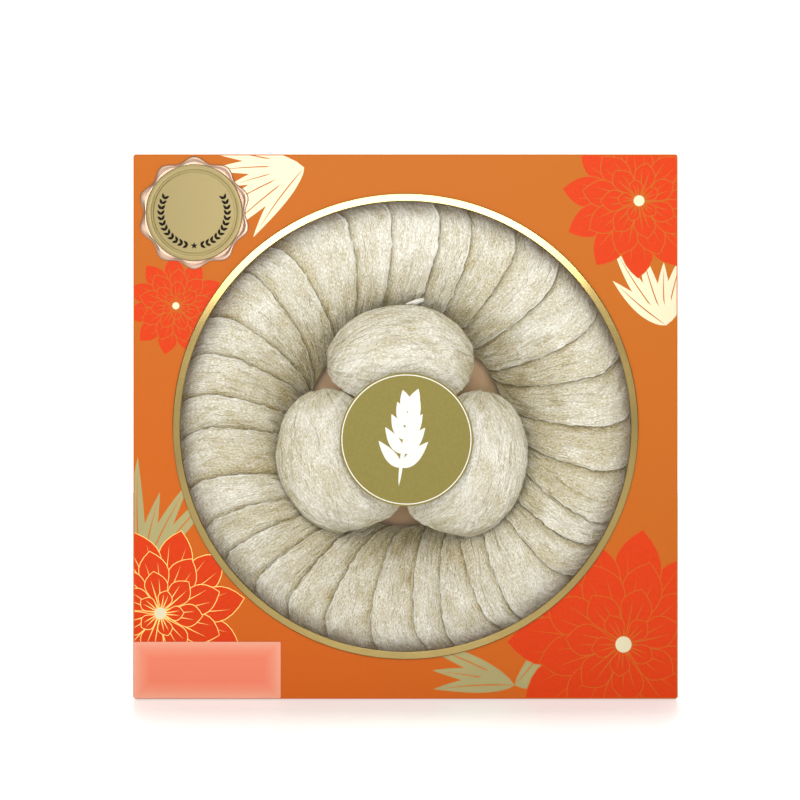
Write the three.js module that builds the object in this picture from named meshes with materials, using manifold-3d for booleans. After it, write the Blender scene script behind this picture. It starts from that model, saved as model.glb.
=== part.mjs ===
// A windowed gift box of edible bird's nests, standing upright on its lower edge.
// Millimetres, +Z up, origin in the middle of the underside, the window facing -Y.
// Everything is built in a face frame, with x to the right, y up and z towards the viewer,
// whose origin is the centre of the box's front face. One group turns that frame upright.
import * as THREE from 'three';
import { mergeVertices } from 'three/addons/utils/BufferGeometryUtils.js';
import Module from 'manifold-3d';

// Box of wrapped board: a full-depth lid over a shallower base.
const BOX_SIDE = 280;
const BOX_DEPTH = 56;
const LID_FACE = 2.4;
const LID_WALL = 2;
const SKIRT_SHORT_BY = 2;
const LID_TO_BASE = 0.5;
const BASE_WALL = 2;
const BASE_BACK = 2.4;
const BASE_EDGE_BACK = 4;

// Round window: a gilt ring set in the lid, and a clear sheet behind it.
const WINDOW_RADIUS = 115.7;
const SLEEVE = 0.8;
const FLANGE_RADIUS = 119.6;
const FLANGE_PROUD = 0.75;
const FILM_SIDE = 252;
const FILM_THICK = 0.4;
const ROUND_SEGMENTS = 64;

// Moulded tray with a round well, inside the base.
const WELL_RADIUS = 125;
const TRAY_SHEET = 1.2;
const TRAY_TO_BASE = 0.5;
const DECK_BACK = 3.4;
const FLOOR_BACK = 47;

// Gaps that keep neighbouring pieces apart.
const SEAT_GAP = 0.3;
const STICKER_GAP = 0.15;

// Stickers: the round label on the film, the scalloped seal and the strip at the lower corner.
const LABEL_RADIUS = 34.4;
const LABEL_CENTRE = [0.5, -6.7];
const STICKER_THICK = 0.3;
const SEAL_CENTRE = [-108.5, 109.8];
const SEAL_RADIUS = 27.6;
const SEAL_LOBES = 10;
const SEAL_WAVE = 1.4;
const SEAL_DISC_RADIUS = 24.8;
const SEAL_THICK = 0.5;
const SEAL_DISC_PROUD = 0.35;
const STRIP_SIZE = [75.5, 29];
const STRIP_INSET = 0.4;

// Ring of nests. Each nest overlaps the next one clockwise, and shows the band beside its lip.
// A pair is the lip's place in degrees clockwise from 12 o'clock, and how far in millimetres
// the lip's inner end sweeps back from it.
const RING_NESTS = [
  [10, 14], [20, 5], [33, 7], [47, 8], [63, 8], [75, 14], [90, 15], [103, 14], [117, 22], [125, 10],
  [134.5, 15], [150, 26], [157.5, 14], [169, 21], [177.5, 12], [190.5, 10], [203, 15], [214, 16],
  [224, 21], [234.5, 26], [244, 31], [255, 30], [269.5, 13], [279.5, 12], [291.5, 8], [302, 14.5],
  [315, 23], [326.5, 12], [344, 25], [356, 22],
];
const RING_INNER = 53.5;
const RING_OUTER = 124;
const RING_CREST_RADIUS = 100;
const CREST_HEIGHT = 39;
const TIP_HEIGHT = 7;
const WALL_END_HEIGHT = 14;
const OUTER_SWEEP = 24;
const PEAK_NEAREST = 88;
const PEAK_PER_SWEEP = 0.9;
const PEAK_FURTHEST = 109;
const LIP_STEP = 3;
const TUCK_SHARE = 0.45;
const NEST_WALL = 2.4;
const NEST_LIP = 1;
const NEST_FLOOR = 0.5;
const RING_STATIONS = 8;

// Three nests lie dome up in the middle, their arched open sides together under the label.
// facing is the way the lip points, in degrees clockwise from 12 o'clock. reach is from the arch
// out to the lip, inward is how far the crown runs on past the arch, under the label, and crownPowers
// are how squarely the crown ends at either end.
const CENTRE_NESTS = [
  {
    name: 'nest_centre_top', middle: [-2.5, 32], facing: 358,
    halfLength: 39.5, reach: 31.5, inward: 22, crownPowers: [1.5, 2.6],
  },
  {
    name: 'nest_centre_left', middle: [-34, -17], facing: 257,
    halfLength: 39, reach: 33, inward: 27, crownPowers: [9, 1.1],
  },
  {
    name: 'nest_centre_right', middle: [32.5, -19], facing: 102,
    halfLength: 39.5, reach: 31, inward: 27, crownPowers: [1.4, 9],
  },
];
const DOME_HEIGHT = 41;
const DOME_LIP_HEIGHT = 27;
const DOME_FOOT_HEIGHT = 22;
const DOME_PLUMPNESS = 0.85;
const DOME_END = 0.97;
const CROWN_DROP = 0.55;
const CROWN_LEAST = 0.9;
const CROWN_STEPS = 3;
const DOME_STATIONS = 12;
const DOME_STEPS = 5;

const COLOURS = {
  printed_board: 0xdb7530,
  base_board: 0xc9601f,
  gilt: 0xb59a55,
  film: 0xf4f6f4,
  tray: 0xd2a98c,
  nest: 0xe0dabf,
  label: 0xa0944f,
  seal: 0xd9b08c,
  strip: 0xf48a6c,
};

const wasm = await Module();
wasm.setup();

const radians = THREE.MathUtils.degToRad;
const clamp = THREE.MathUtils.clamp;

function finish(name, roughness, metalness = 0) {
  return new THREE.MeshStandardMaterial({ color: COLOURS[name], roughness, metalness });
}

const FINISHES = {
  printed_board: finish('printed_board', 0.45),
  base_board: finish('base_board', 0.6),
  gilt: finish('gilt', 0.25, 1),
  film: finish('film', 0.05),
  tray: finish('tray', 0.7),
  nest: finish('nest', 0.6),
  label: finish('label', 0.35, 0.6),
  seal: finish('seal', 0.3, 0.8),
  strip: finish('strip', 0.5),
};

function namedMesh(name, geometry, material) {
  geometry.computeVertexNormals();
  const mesh = new THREE.Mesh(geometry, material);
  mesh.name = name;
  return mesh;
}

// Geometry to solid and back, for joining pieces.
function solidOf(geometry) {
  const bare = geometry.clone();
  bare.deleteAttribute('normal');
  bare.deleteAttribute('uv');
  const merged = mergeVertices(bare);
  return new wasm.Manifold(new wasm.Mesh({
    numProp: 3,
    vertProperties: merged.attributes.position.array,
    triVerts: new Uint32Array(merged.index.array),
  }));
}

function joined(...geometries) {
  const mesh = geometries.map(solidOf).reduce((all, next) => all.add(next)).getMesh();
  const made = new THREE.BufferGeometry();
  made.setAttribute('position', new THREE.BufferAttribute(mesh.vertProperties, 3));
  made.setIndex(new THREE.BufferAttribute(mesh.triVerts, 1));
  return made;
}

// Flat shapes, extruded between two depths of the face frame.
function squareShape(side) {
  const half = side / 2;
  return new THREE.Shape([
    new THREE.Vector2(-half, -half),
    new THREE.Vector2(half, -half),
    new THREE.Vector2(half, half),
    new THREE.Vector2(-half, half),
  ]);
}

function discShape(radius) {
  return new THREE.Shape().absarc(0, 0, radius, 0, 2 * Math.PI, false);
}

function withHole(shape, hole) {
  shape.holes.push(hole);
  return shape;
}

function plate(shape, back, front) {
  const settings = { depth: front - back, bevelEnabled: false, curveSegments: ROUND_SEGMENTS / 2 };
  return new THREE.ExtrudeGeometry(shape, settings).translate(0, 0, back);
}

// Box, window and tray.
function lid() {
  const hole = discShape(WINDOW_RADIUS + SLEEVE + SEAT_GAP);
  const face = plate(withHole(squareShape(BOX_SIDE), hole), -LID_FACE, 0);
  const skirtShape = withHole(squareShape(BOX_SIDE), squareShape(BOX_SIDE - 2 * LID_WALL));
  const skirt = plate(skirtShape, SKIRT_SHORT_BY - BOX_DEPTH, -LID_FACE / 2);
  return namedMesh('lid', joined(face, skirt), FINISHES.printed_board);
}

const BASE_SIDE = BOX_SIDE - 2 * (LID_WALL + LID_TO_BASE);

function boxBase() {
  const back = plate(squareShape(BASE_SIDE), -BOX_DEPTH, BASE_BACK - BOX_DEPTH);
  const wallShape = withHole(squareShape(BASE_SIDE), squareShape(BASE_SIDE - 2 * BASE_WALL));
  const walls = plate(wallShape, BASE_BACK / 2 - BOX_DEPTH, -BASE_EDGE_BACK);
  return namedMesh('box_base', joined(back, walls), FINISHES.base_board);
}

function windowRim() {
  const edge = 0.35;
  const profile = [
    [WINDOW_RADIUS, -LID_FACE],
    [WINDOW_RADIUS + SLEEVE, -LID_FACE],
    [WINDOW_RADIUS + SLEEVE, STICKER_GAP],
    [FLANGE_RADIUS, STICKER_GAP],
    [FLANGE_RADIUS, FLANGE_PROUD - edge],
    [FLANGE_RADIUS - edge, FLANGE_PROUD],
    [WINDOW_RADIUS + edge, FLANGE_PROUD],
    [WINDOW_RADIUS, FLANGE_PROUD - edge],
    [WINDOW_RADIUS, -LID_FACE],
  ].map(([radius, height]) => new THREE.Vector2(radius, height));
  const ring = new THREE.LatheGeometry(profile, ROUND_SEGMENTS).rotateX(Math.PI / 2);
  return namedMesh('window_rim', ring, FINISHES.gilt);
}

const FILM_FRONT = -(LID_FACE + SEAT_GAP);

function windowFilm() {
  const sheet = plate(squareShape(FILM_SIDE), FILM_FRONT - FILM_THICK, FILM_FRONT);
  return namedMesh('window_film', sheet, FINISHES.film);
}

function tray() {
  const side = BASE_SIDE - 2 * (BASE_WALL + TRAY_TO_BASE);
  const foot = BASE_BACK + SEAT_GAP - BOX_DEPTH;
  const floor = -FLOOR_BACK;
  const wellOuter = WELL_RADIUS + TRAY_SHEET;
  const deckShape = withHole(squareShape(side), discShape(WELL_RADIUS));
  const deck = plate(deckShape, -DECK_BACK - TRAY_SHEET, -DECK_BACK);
  const skirtShape = withHole(squareShape(side), squareShape(side - 2 * TRAY_SHEET));
  const skirt = plate(skirtShape, foot, -DECK_BACK - TRAY_SHEET / 2);
  const wellShape = withHole(discShape(wellOuter), discShape(WELL_RADIUS));
  const well = plate(wellShape, floor - TRAY_SHEET / 2, -DECK_BACK - TRAY_SHEET / 2);
  const bottom = plate(discShape(wellOuter), floor - TRAY_SHEET, floor);
  return namedMesh('tray', joined(deck, skirt, well, bottom), FINISHES.tray);
}

// Stickers.
function centreLabel() {
  const back = FILM_FRONT + STICKER_GAP;
  const disc = plate(discShape(LABEL_RADIUS), back, back + STICKER_THICK);
  const mesh = namedMesh('centre_label', disc, FINISHES.label);
  mesh.position.set(...LABEL_CENTRE, 0);
  return mesh;
}

function cornerSeal() {
  const steps = 6 * SEAL_LOBES;
  const outline = Array.from({ length: steps }, (_, step) => {
    const turn = (2 * Math.PI * step) / steps;
    const radius = SEAL_RADIUS + SEAL_WAVE * Math.cos(SEAL_LOBES * turn);
    return new THREE.Vector2(radius * Math.sin(turn), radius * Math.cos(turn));
  });
  const front = STICKER_GAP + SEAL_THICK;
  const wavy = plate(new THREE.Shape(outline), STICKER_GAP, front);
  const disc = plate(discShape(SEAL_DISC_RADIUS), STICKER_GAP + SEAL_THICK / 2, front + SEAL_DISC_PROUD);
  const mesh = namedMesh('corner_seal', joined(wavy, disc), FINISHES.seal);
  mesh.position.set(...SEAL_CENTRE, 0);
  return mesh;
}

function cornerStrip() {
  const [width, height] = STRIP_SIZE;
  const sheet = new THREE.BoxGeometry(width, height, STICKER_THICK);
  const corner = STRIP_INSET - BOX_SIDE / 2;
  const mesh = namedMesh('corner_strip', sheet, FINISHES.strip);
  mesh.position.set(corner + width / 2, corner + height / 2, STICKER_GAP + STICKER_THICK / 2);
  return mesh;
}

// A closed skin over rows of points, each row running once round the shell: the outside, then
// the inside back again. Both split their quads the same way, so thin walls stay apart.
function skin(rows) {
  const around = rows[0].length;
  const corners = [];
  for (let row = 0; row + 1 < rows.length; row++) {
    for (let k = 0; k < around; k++) {
      const here = row * around + k;
      const beside = row * around + ((k + 1) % around);
      const [below, opposite] = [here + around, beside + around];
      if (k < around / 2) corners.push(here, beside, opposite, here, opposite, below);
      else corners.push(here, beside, below, beside, opposite, below);
    }
  }
  const made = new THREE.BufferGeometry().setFromPoints(rows.flat());
  made.setIndex(corners);
  return withoutSlivers(mergeVertices(made));
}

// The end rows are pinched to an edge, so triangles with a repeated corner are dropped.
function withoutSlivers(geometry) {
  const all = geometry.index.array;
  const kept = [];
  for (let i = 0; i < all.length; i += 3) {
    const [a, b, c] = [all[i], all[i + 1], all[i + 2]];
    if (a !== b && b !== c && c !== a) kept.push(a, b, c);
  }
  geometry.setIndex(kept);
  return geometry;
}

// Ring nests, in polar terms round the window's centre, heights above the tray's floor.
function ringNest(index) {
  return RING_NESTS.at(index % RING_NESTS.length);
}

// A fixed wobble between -1 and 1, different for each nest.
function wobble(index) {
  const mixed = Math.sin(12.9898 * (index + 1)) * 43758.5453;
  return 2 * (mixed - Math.floor(mixed)) - 1;
}

function quarterRound(share) {
  return 1 - Math.sqrt(1 - clamp(share, 0, 1) ** 2);
}

// How far, in radians, the lip of a nest lies back from its furthest point, at a radius.
function lipBack(index, radius) {
  const sweep = ringNest(index)[1];
  const peak = Math.min(PEAK_FURTHEST, PEAK_NEAREST + PEAK_PER_SWEEP * sweep);
  const inward = sweep * quarterRound((peak - radius) / (peak - RING_INNER));
  const outward = OUTER_SWEEP * quarterRound((radius - peak) / (RING_OUTER - peak));
  return (inward + outward) / radius;
}

// The angle from one nest's lip back to the lip of the nest that covers it, at a radius.
function bandAngle(index, radius) {
  const turn = (ringNest(index)[0] - ringNest(index - 1)[0] + 360) % 360;
  return radians(turn) - lipBack(index, radius) + lipBack(index - 1, radius);
}

function lipHeight(index, radius) {
  const crest = CREST_HEIGHT + 0.3 * wobble(index) + Math.sin(2 * radians(ringNest(index)[0]) + 1);
  if (radius < RING_CREST_RADIUS) {
    const climb = (radius - RING_INNER) / (RING_CREST_RADIUS - RING_INNER);
    return TIP_HEIGHT + (crest - TIP_HEIGHT) * Math.sin((Math.PI / 2) * climb);
  }
  const fall = (radius - RING_CREST_RADIUS) / (RING_OUTER - RING_CREST_RADIUS);
  return WALL_END_HEIGHT + (crest - WALL_END_HEIGHT) * Math.sqrt(1 - fall ** 3);
}

// One cross-section of a ring nest: the band from the lip to the covering nest's lip, then the
// part tucked under that nest, curving down to the floor. The angle is counted back from the lip.
const BAND_SHARES = [0, 0.35, 0.7, 1, 1.5, 2];

function ringSection(index, radius, endTaper) {
  const band = bandAngle(index, radius);
  const tuck = TUCK_SHARE * bandAngle(index - 1, radius);
  const lip = lipHeight(index, radius);
  const step = Math.min(LIP_STEP, TUCK_SHARE * (lip - NEST_FLOOR));
  const outside = BAND_SHARES.map((share) => {
    const open = Math.min(share, 1);
    const hidden = Math.max(share - 1, 0);
    const fall = step * (0.15 * open + 0.85 * open ** 2);
    const dive = (lip - step - NEST_FLOOR) * (0.3 * hidden + 0.7 * hidden ** 2);
    return { back: band * open + tuck * hidden, height: lip - fall - dive };
  });
  const inside = outside.map(({ back, height }, k) => {
    const share = BAND_SHARES[k];
    const wall = endTaper * (share === 0 ? NEST_LIP : NEST_WALL);
    const lean = clamp(share - 1, 0, 1);
    const side = Math.min((wall * lean) / radius, TUCK_SHARE * band);
    return { back: back - side, height: Math.max(height - wall * (1 - 0.6 * lean), NEST_FLOOR) };
  });
  return [...outside, ...inside.reverse()];
}

function ringNestMesh(index) {
  const rows = [];
  for (let station = 0; station <= RING_STATIONS; station++) {
    const along = -Math.cos((Math.PI * station) / RING_STATIONS);
    const radius = (RING_INNER + RING_OUTER) / 2 + (along * (RING_OUTER - RING_INNER)) / 2;
    const endTaper = Math.sqrt(1 - Math.min(1, Math.abs(along)) ** 4);
    rows.push(ringSection(index, radius, endTaper).map(({ back, height }) => {
      const turn = -lipBack(index, radius) - back;
      return new THREE.Vector3(radius * Math.sin(turn), radius * Math.cos(turn), height);
    }));
  }
  const number = String(index + 1).padStart(2, '0');
  const mesh = namedMesh('nest_ring_' + number, skin(rows.reverse()), FINISHES.nest);
  mesh.rotation.z = -radians(ringNest(index)[0]);
  return mesh;
}

// How far a centre nest's crown runs on inwards, rounding off towards both ends.
function crownReach(nest, along) {
  const power = nest.crownPowers[along < 0 ? 0 : 1];
  const rounding = 1 - Math.min(1, Math.abs(along / DOME_END)) ** power;
  return Math.max(CROWN_LEAST, nest.inward * Math.sqrt(rounding));
}

// Centre nests: cups lying mouth down, the lip on the ring's inner slope.
function domeSection(nest, along) {
  const width = Math.sqrt(1 - along ** 2);
  const lip = DOME_FOOT_HEIGHT + (DOME_LIP_HEIGHT - DOME_FOOT_HEIGHT) * (1 - along ** 6);
  const rise = (DOME_HEIGHT - DOME_LIP_HEIGHT) * width;
  const endTaper = Math.sqrt(1 - (along / DOME_END) ** 4);
  const crown = crownReach(nest, along);
  const outside = [];
  const inside = [];
  for (let step = 0; step <= DOME_STEPS + CROWN_STEPS; step++) {
    const turn = (Math.PI / 2) * Math.min(1, step / DOME_STEPS);
    const past = Math.max(0, step - DOME_STEPS) / CROWN_STEPS;
    const out = Math.max(0, Math.cos(turn)) ** DOME_PLUMPNESS;
    const up = Math.sin(turn) ** DOME_PLUMPNESS - CROWN_DROP * past ** 2;
    const wall = endTaper * (step === 0 ? NEST_LIP : NEST_WALL);
    const side = nest.halfLength * along;
    const reach = nest.reach * width * out - crown * past;
    const height = lip + rise * up;
    outside.push(new THREE.Vector3(side, reach, height));
    inside.push(new THREE.Vector3(side, reach - wall * Math.cos(turn), height - wall * Math.sin(turn)));
  }
  return [...outside, ...inside.reverse()];
}

function centreNestMesh(nest) {
  const rows = [];
  for (let station = 0; station <= DOME_STATIONS; station++) {
    rows.push(domeSection(nest, -DOME_END * Math.cos((Math.PI * station) / DOME_STATIONS)));
  }
  const mesh = namedMesh(nest.name, skin(rows), FINISHES.nest);
  mesh.position.set(...nest.middle, 0);
  mesh.rotation.z = -radians(nest.facing);
  return mesh;
}

function nests() {
  const group = new THREE.Group();
  RING_NESTS.forEach((_, index) => group.add(ringNestMesh(index)));
  CENTRE_NESTS.forEach((nest) => group.add(centreNestMesh(nest)));
  group.position.z = -FLOOR_BACK;
  return group;
}

const box = new THREE.Group();
box.add(lid(), boxBase(), windowRim(), windowFilm(), tray());
box.add(centreLabel(), cornerSeal(), cornerStrip(), nests());
box.rotation.x = Math.PI / 2;
const sealProud = STICKER_GAP + SEAL_THICK + SEAL_DISC_PROUD;
box.position.set(0, (sealProud - BOX_DEPTH) / 2, BOX_SIDE / 2);

const part = new THREE.Group();
part.add(box);
export default part;
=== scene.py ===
"""Dresses a window box of edible bird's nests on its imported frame.

Shapes are worked out in a face frame in millimetres: right, up and towards the viewer, from the
centre of the lid's front face. to_world() turns them into the frame's metres.
"""

import math

import bmesh
import bpy
import numpy as np
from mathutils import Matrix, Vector
from mathutils.geometry import delaunay_2d_cdt


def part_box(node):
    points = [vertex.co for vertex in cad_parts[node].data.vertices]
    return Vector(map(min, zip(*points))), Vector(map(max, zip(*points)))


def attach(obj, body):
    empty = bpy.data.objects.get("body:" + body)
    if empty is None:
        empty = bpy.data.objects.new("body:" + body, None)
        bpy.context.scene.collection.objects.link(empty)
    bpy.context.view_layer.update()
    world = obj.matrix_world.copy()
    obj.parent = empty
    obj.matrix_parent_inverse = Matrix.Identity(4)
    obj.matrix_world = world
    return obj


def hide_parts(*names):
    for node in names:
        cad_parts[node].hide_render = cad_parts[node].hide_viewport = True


bl_info = {
    "name": "Bird's Nest Window Box",
    "version": (1, 0, 0),
    "blender": (4, 5, 0),
    "location": "View3D > Sidebar > Nest Box",
    "description": "Makes a window box of dried bird's nests on its frame",
    "category": "Add Mesh",
}

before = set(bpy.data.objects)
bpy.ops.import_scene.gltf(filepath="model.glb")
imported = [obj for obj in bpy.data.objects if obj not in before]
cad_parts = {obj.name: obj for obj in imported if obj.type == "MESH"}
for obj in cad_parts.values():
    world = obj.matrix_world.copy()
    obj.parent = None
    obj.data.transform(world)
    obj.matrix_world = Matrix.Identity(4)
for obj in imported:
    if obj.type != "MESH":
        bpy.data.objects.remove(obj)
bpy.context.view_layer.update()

MM = 0.001
LID_LOW, LID_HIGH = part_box("lid")
FRONT = LID_LOW[1]
CENTRE_HEIGHT = (LID_LOW[2] + LID_HIGH[2]) / 2

# Box and window, as in the part's source.
LID_FACE = 2.4
BASE_INSIDE = -53.6
WINDOW_RADIUS = 115.7
LID_HOLE = 116.8
FLANGE_RADIUS = 119.6
FLANGE_PROUD = 0.75
STICKER_GAP = 0.15
FLOOR_BACK = 47.0
ROUND_STEPS = 192
# The window ring's sleeve, and the steps of its rounded edges: inwards, and down from its top.
SLEEVE_WALL = 0.8
RIM_EDGE = [(0.0, 0.3), (0.12, 0.1), (0.35, 0.0)]

# Stickers, as in the part's source.
LABEL_CENTRE = (0.5, -6.7)
LABEL_RADIUS = 34.4
LABEL_BACK = -2.55
LABEL_FRONT = -2.25
LABEL_STEPS = 128
SEAL_CENTRE = (-108.5, 109.8)
SEAL_LOBES = 10
STRIP_LOW = (-139.6, -139.6)
STRIP_HIGH = (-64.1, -110.6)
STRIP_MIDDLE = ((STRIP_LOW[0] + STRIP_HIGH[0]) / 2, (STRIP_LOW[1] + STRIP_HIGH[1]) / 2)
STRIP_HALF = ((STRIP_HIGH[0] - STRIP_LOW[0]) / 2, (STRIP_HIGH[1] - STRIP_LOW[1]) / 2)
STRIP_FRONT = 0.45
STRIP_CORNER = 0.6
# How far in from the strip's edge each of its loops lies, and how far in front of the lid.
STRIP_RIMS = [(0.0, STICKER_GAP), (0.0, STRIP_FRONT - 0.08), (0.1, STRIP_FRONT)]

# Ring nests: the lip's place in degrees clockwise from 12 o'clock, and the sweep of its inner end.
RING_NESTS = [
    (10, 14), (20, 5), (33, 7), (47, 8), (63, 8), (75, 14), (90, 15), (103, 14), (117, 22), (125, 10),
    (134.5, 15), (150, 26), (157.5, 14), (169, 21), (177.5, 12), (190.5, 10), (203, 15), (214, 16),
    (224, 21), (234.5, 26), (244, 31), (255, 30), (269.5, 13), (279.5, 12), (291.5, 8), (302, 14.5),
    (315, 23), (326.5, 12), (344, 25), (356, 22),
]
RING_COUNT = len(RING_NESTS)
RING_INNER = 53.5
RING_OUTER = 124.0
RING_CREST_RADIUS = 100.0
CREST_HEIGHT = 39.0
TIP_HEIGHT = 7.0
WALL_END_HEIGHT = 14.0
OUTER_SWEEP = 24.0
PEAK_NEAREST = 88.0
PEAK_PER_SWEEP = 0.9
PEAK_FURTHEST = 109.0
CREST_WOBBLE = 0.3
TUCK_SHARE = 0.45
NEST_WALL = 2.4
NEST_LIP = 1.0
NEST_FLOOR = 0.5
# How a nest falls away from its lip, dives under the next one and thins there: even and squared shares.
FALL_CURVE = (0.15, 0.85)
DIVE_CURVE = (0.3, 0.7)
DIVE_THINNING = 0.6
# The step under a lip is smaller than in the part's source, so that no dark slit shows from the side.
LIP_STEP = 2.4
# Places across a ring nest's outside: 0 at its lip, 1 at the lip that covers it, 2 on the floor.
RING_SHARES = np.concatenate([np.linspace(0, 1.22, 74), np.linspace(1.3, 2, 7)])
RING_ROWS = 72
RING_STRAND_COLUMN = 72
RING_FRAY_COLUMN = 60

# Centre nests: name, middle, facing in degrees clockwise from 12 o'clock, half length, reach from
# the arch out to the lip, how far the crown runs on past the arch, and how squarely it ends.
CENTRE_NESTS = [
    ("nest_centre_top", (-2.5, 32.0), 358.0, 39.5, 31.5, 22.0, (1.5, 2.6)),
    ("nest_centre_left", (-34.0, -17.0), 257.0, 39.0, 33.0, 27.0, (9.0, 1.1)),
    ("nest_centre_right", (32.5, -19.0), 102.0, 39.5, 31.0, 27.0, (1.4, 9.0)),
]
DOME_HEIGHT = 41.0
DOME_LIP_HEIGHT = 27.0
DOME_FOOT_HEIGHT = 22.0
DOME_PLUMPNESS = 0.85
DOME_END = 0.97
CROWN_DROP = 0.55
CROWN_LEAST = 0.9
DOME_ROWS = 90
DOME_COLUMNS = 100
CROWN_COLUMNS = 46
DOME_STRAND_COLUMN = DOME_COLUMNS + CROWN_COLUMNS - 2

# Layers of a nest's relief and of its ragged lip: wave lengths along and across, and height, in millimetres.
LONG_SWAY = (12, 9, 2.6)
SHORT_SWAY = (4, 3, 1.2)
LUMPS = (10, 6, 0.7)
ROPES = (6.5, 1.6, 0.38)
THREADS = (3.2, 0.9, 0.34)
GRAIN = (1.7, 1.2, 0.3)
COARSE_RAGS = (2.8, 1, 1.2)
FINE_RAGS = (1.2, 1, 0.8)
RAG_WIDTH = 1.5
END_RELIEF = 1.6
LIP_PARTS = (0.25, 0.5, 0.75)
LIP_BULGE = 0.35

# Tones of a nest, from 0, brown, to 1, ivory, several of them painted shade or a painted highlight, as
# noted.
# Painted shade: the hidden inside of each nest is painted this dark.
HIDDEN_TONE = 0.3
MATTED_TONE = 0.64
# Painted shade in the relief: ridges are painted up to this much lighter than the furrows.
RIDGE_TONE = 0.36
# Painted highlight on the lip: the rounded lip's tone, and what is added over the first columns after it,
# fading off.
LIP_TONE = 0.85
LIP_PAINTED_HIGHLIGHT = 0.2 * np.linspace(1, 0, 4)
RING_TINT = 0.06
CENTRE_TINT = 0.02
STRAND_TONE_SPREAD = 0.24
# Painted shade low in the box: its strength, and how far under the crest it starts.
PAINTED_DEPTH_SHADE = 0.5
PAINTED_SHADE_BELOW_CREST = 1.5
# Painted shadow under the lip of the nest that covers a ring nest: its strength, the share where it starts
# and how far it grows.
PAINTED_TUCK_SHADOW = 0.36
PAINTED_TUCK_SHADOW_START = 0.72
PAINTED_TUCK_SHADOW_LENGTH = 0.3

# Strands of a nest: radius in millimetres, and tone.
LYING_STRAND = (0.13, 0.68)
LIP_STRAND = (0.16, 0.85)
FRAY_STRAND = (0.14, 0.6)
FLAKE_STRAND = (0.55, 1.1)
STRAND_POINTS = 6
FRAY_POINTS = 4
FLAKE_POINTS = 8
STRAND_SIDES = 3
RING_LIP_STRANDS = 16
RING_FRAYS = 3
CENTRE_LIP_STRANDS = 20
CENTRE_FRAYS = 4

# Ranges and spreads of the strands' random draws: starts and lengths as shares of the nest's rows, sways
# and drifts in columns, and lifts and reaches in millimetres.
ROW_MARGINS = (0.6, 1.6)
LYING_START = (-0.05, 0.95)
LYING_LENGTH = (0.06, 0.22)
LYING_SWAY = 2.2
LYING_WAVES = (2, 7)
LYING_DRIFT = 6.5
LYING_LIFT = (0.08, 0.3)
LYING_SINK = 0.1
LOOSE_SHARE = 0.08
LOOSE_LIFT = 0.8
LIP_START = (0.03, 0.85)
LIP_LENGTH = (0.06, 0.2)
LIP_COLUMNS = (0, 2.2)
LIP_WAVER = 0.5
LIP_LIFT = (0.05, 0.25)
FRAY_ROOT_ROW = 2.5
FRAY_INNER_ROW = 6.0
FRAY_STRAY = 0.5
FRAY_REACH = (0.6, 1.6)
RADIUS_RANGE = (0.7, 1.3)
# A strand's thickness at its tips, and what its middle adds.
TIP_SHARE = 0.45
MIDDLE_SHARE = 0.55
TIP_ANGLE = 0.15
STRAND_NODES = "Nest Strands"
NEST_FINISH = "dried_strands"

# A small flake above the top dome, made with the first ring nest.
FLAKE_NEST = 0
FLAKE_PLACE = (5.3, 65.2, -18.5)
FLAKE_SIZE = (7.4, 2.6, 1.2)
FLAKE_SPREAD = 0.6
FLAKE_STRANDS = 12

# First seeds of the random draws and of the noise, and the step between two nests' strand maps.
RING_DICE, CENTRE_DICE = 100, 200
RING_SEED, CENTRE_SEED = 10.0, 50.0
TINT_SEED = 40
MAP_STEP = 0.37

# Loops round the lid and the base: half width, corner radius and depth.
LID_RIMS = [
    (139.3, 1.0, 0.0), (139.75, 1.2, -0.15), (140.0, 1.4, -0.7), (140.0, 1.4, -53.5),
    (139.8, 1.3, -54.0), (138.2, 0.8, -54.0), (138.0, 0.7, -53.6), (138.0, 0.7, -LID_FACE),
]
BASE_RIMS = [
    (136.9, 1.0, -56.0), (137.35, 1.2, -55.85), (137.5, 1.4, -55.3), (137.5, 1.4, -4.3),
    (137.3, 1.2, -4.0), (135.7, 0.8, -4.0), (135.5, 0.7, -4.3), (135.5, 0.7, BASE_INSIDE),
]

# Kinds of face on the lid, the label and the seal, in the order of their materials.
# The lid's leaves are one gilt foil, painted as a lit copy at the top and a shaded copy at the bottom; the
# blossoms' hearts use the lit copy.
PLAIN, INK_RED, GILT_LINE, GILT_PAINTED_LIT, GILT_PAINTED_SHADED = range(5)
LABEL_PAPER, LABEL_INK = range(2)
SEAL_GOLD, SEAL_INK, SEAL_ROSE = range(3)

# Print of the lid. Sprays: root, angles, length, width, kind and bend. Blossoms: centre, size, turn and
# kind of line. A blossom's rings of petals: count, and reach, width and turn.
LID_SPRAYS = [
    ((-52, 133), (164, 176, 188, 201, 214, 228), 62, 8, GILT_PAINTED_LIT, 0.1),
    ((134, 52), (66, 82, 98, 114, 130, 146), 50, 7.5, GILT_PAINTED_LIT, -0.1),
    ((-136, -78), (54, 68, 82, 96), 70, 8, GILT_PAINTED_SHADED, -0.08),
    ((56, -133), (4, 18, 33, 48, 150, 164, 177), 60, 8, GILT_PAINTED_SHADED, 0.1),
]
LID_BLOSSOMS = [
    ((112, -112), 60, 12, PLAIN),
    ((-126, -96), 44, 40, GILT_LINE),
    ((120, 116), 40, 70, PLAIN),
    ((-118, 62), 26, 25, PLAIN),
]
PETAL_RINGS = [(11, 1.0, 0.42, 0.0), (9, 0.74, 0.36, 17.0), (7, 0.5, 0.28, 5.0), (5, 0.28, 0.18, 30.0)]
PETAL_LINE = 0.4
VEIN_TURNS = (-7, 7)
VEIN_SHARE = 0.82
HEART_SHARE = 0.07
RIB_SHARE = 0.92
RIB_WIDTH = 0.6
SPRAY_MEAN = 0.82
SPRAY_SPREAD = 0.18
SPRAY_STEP = 1.7
LEAF_SHOULDER = 0.75
LEAF_ROUNDNESS = 0.9

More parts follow.
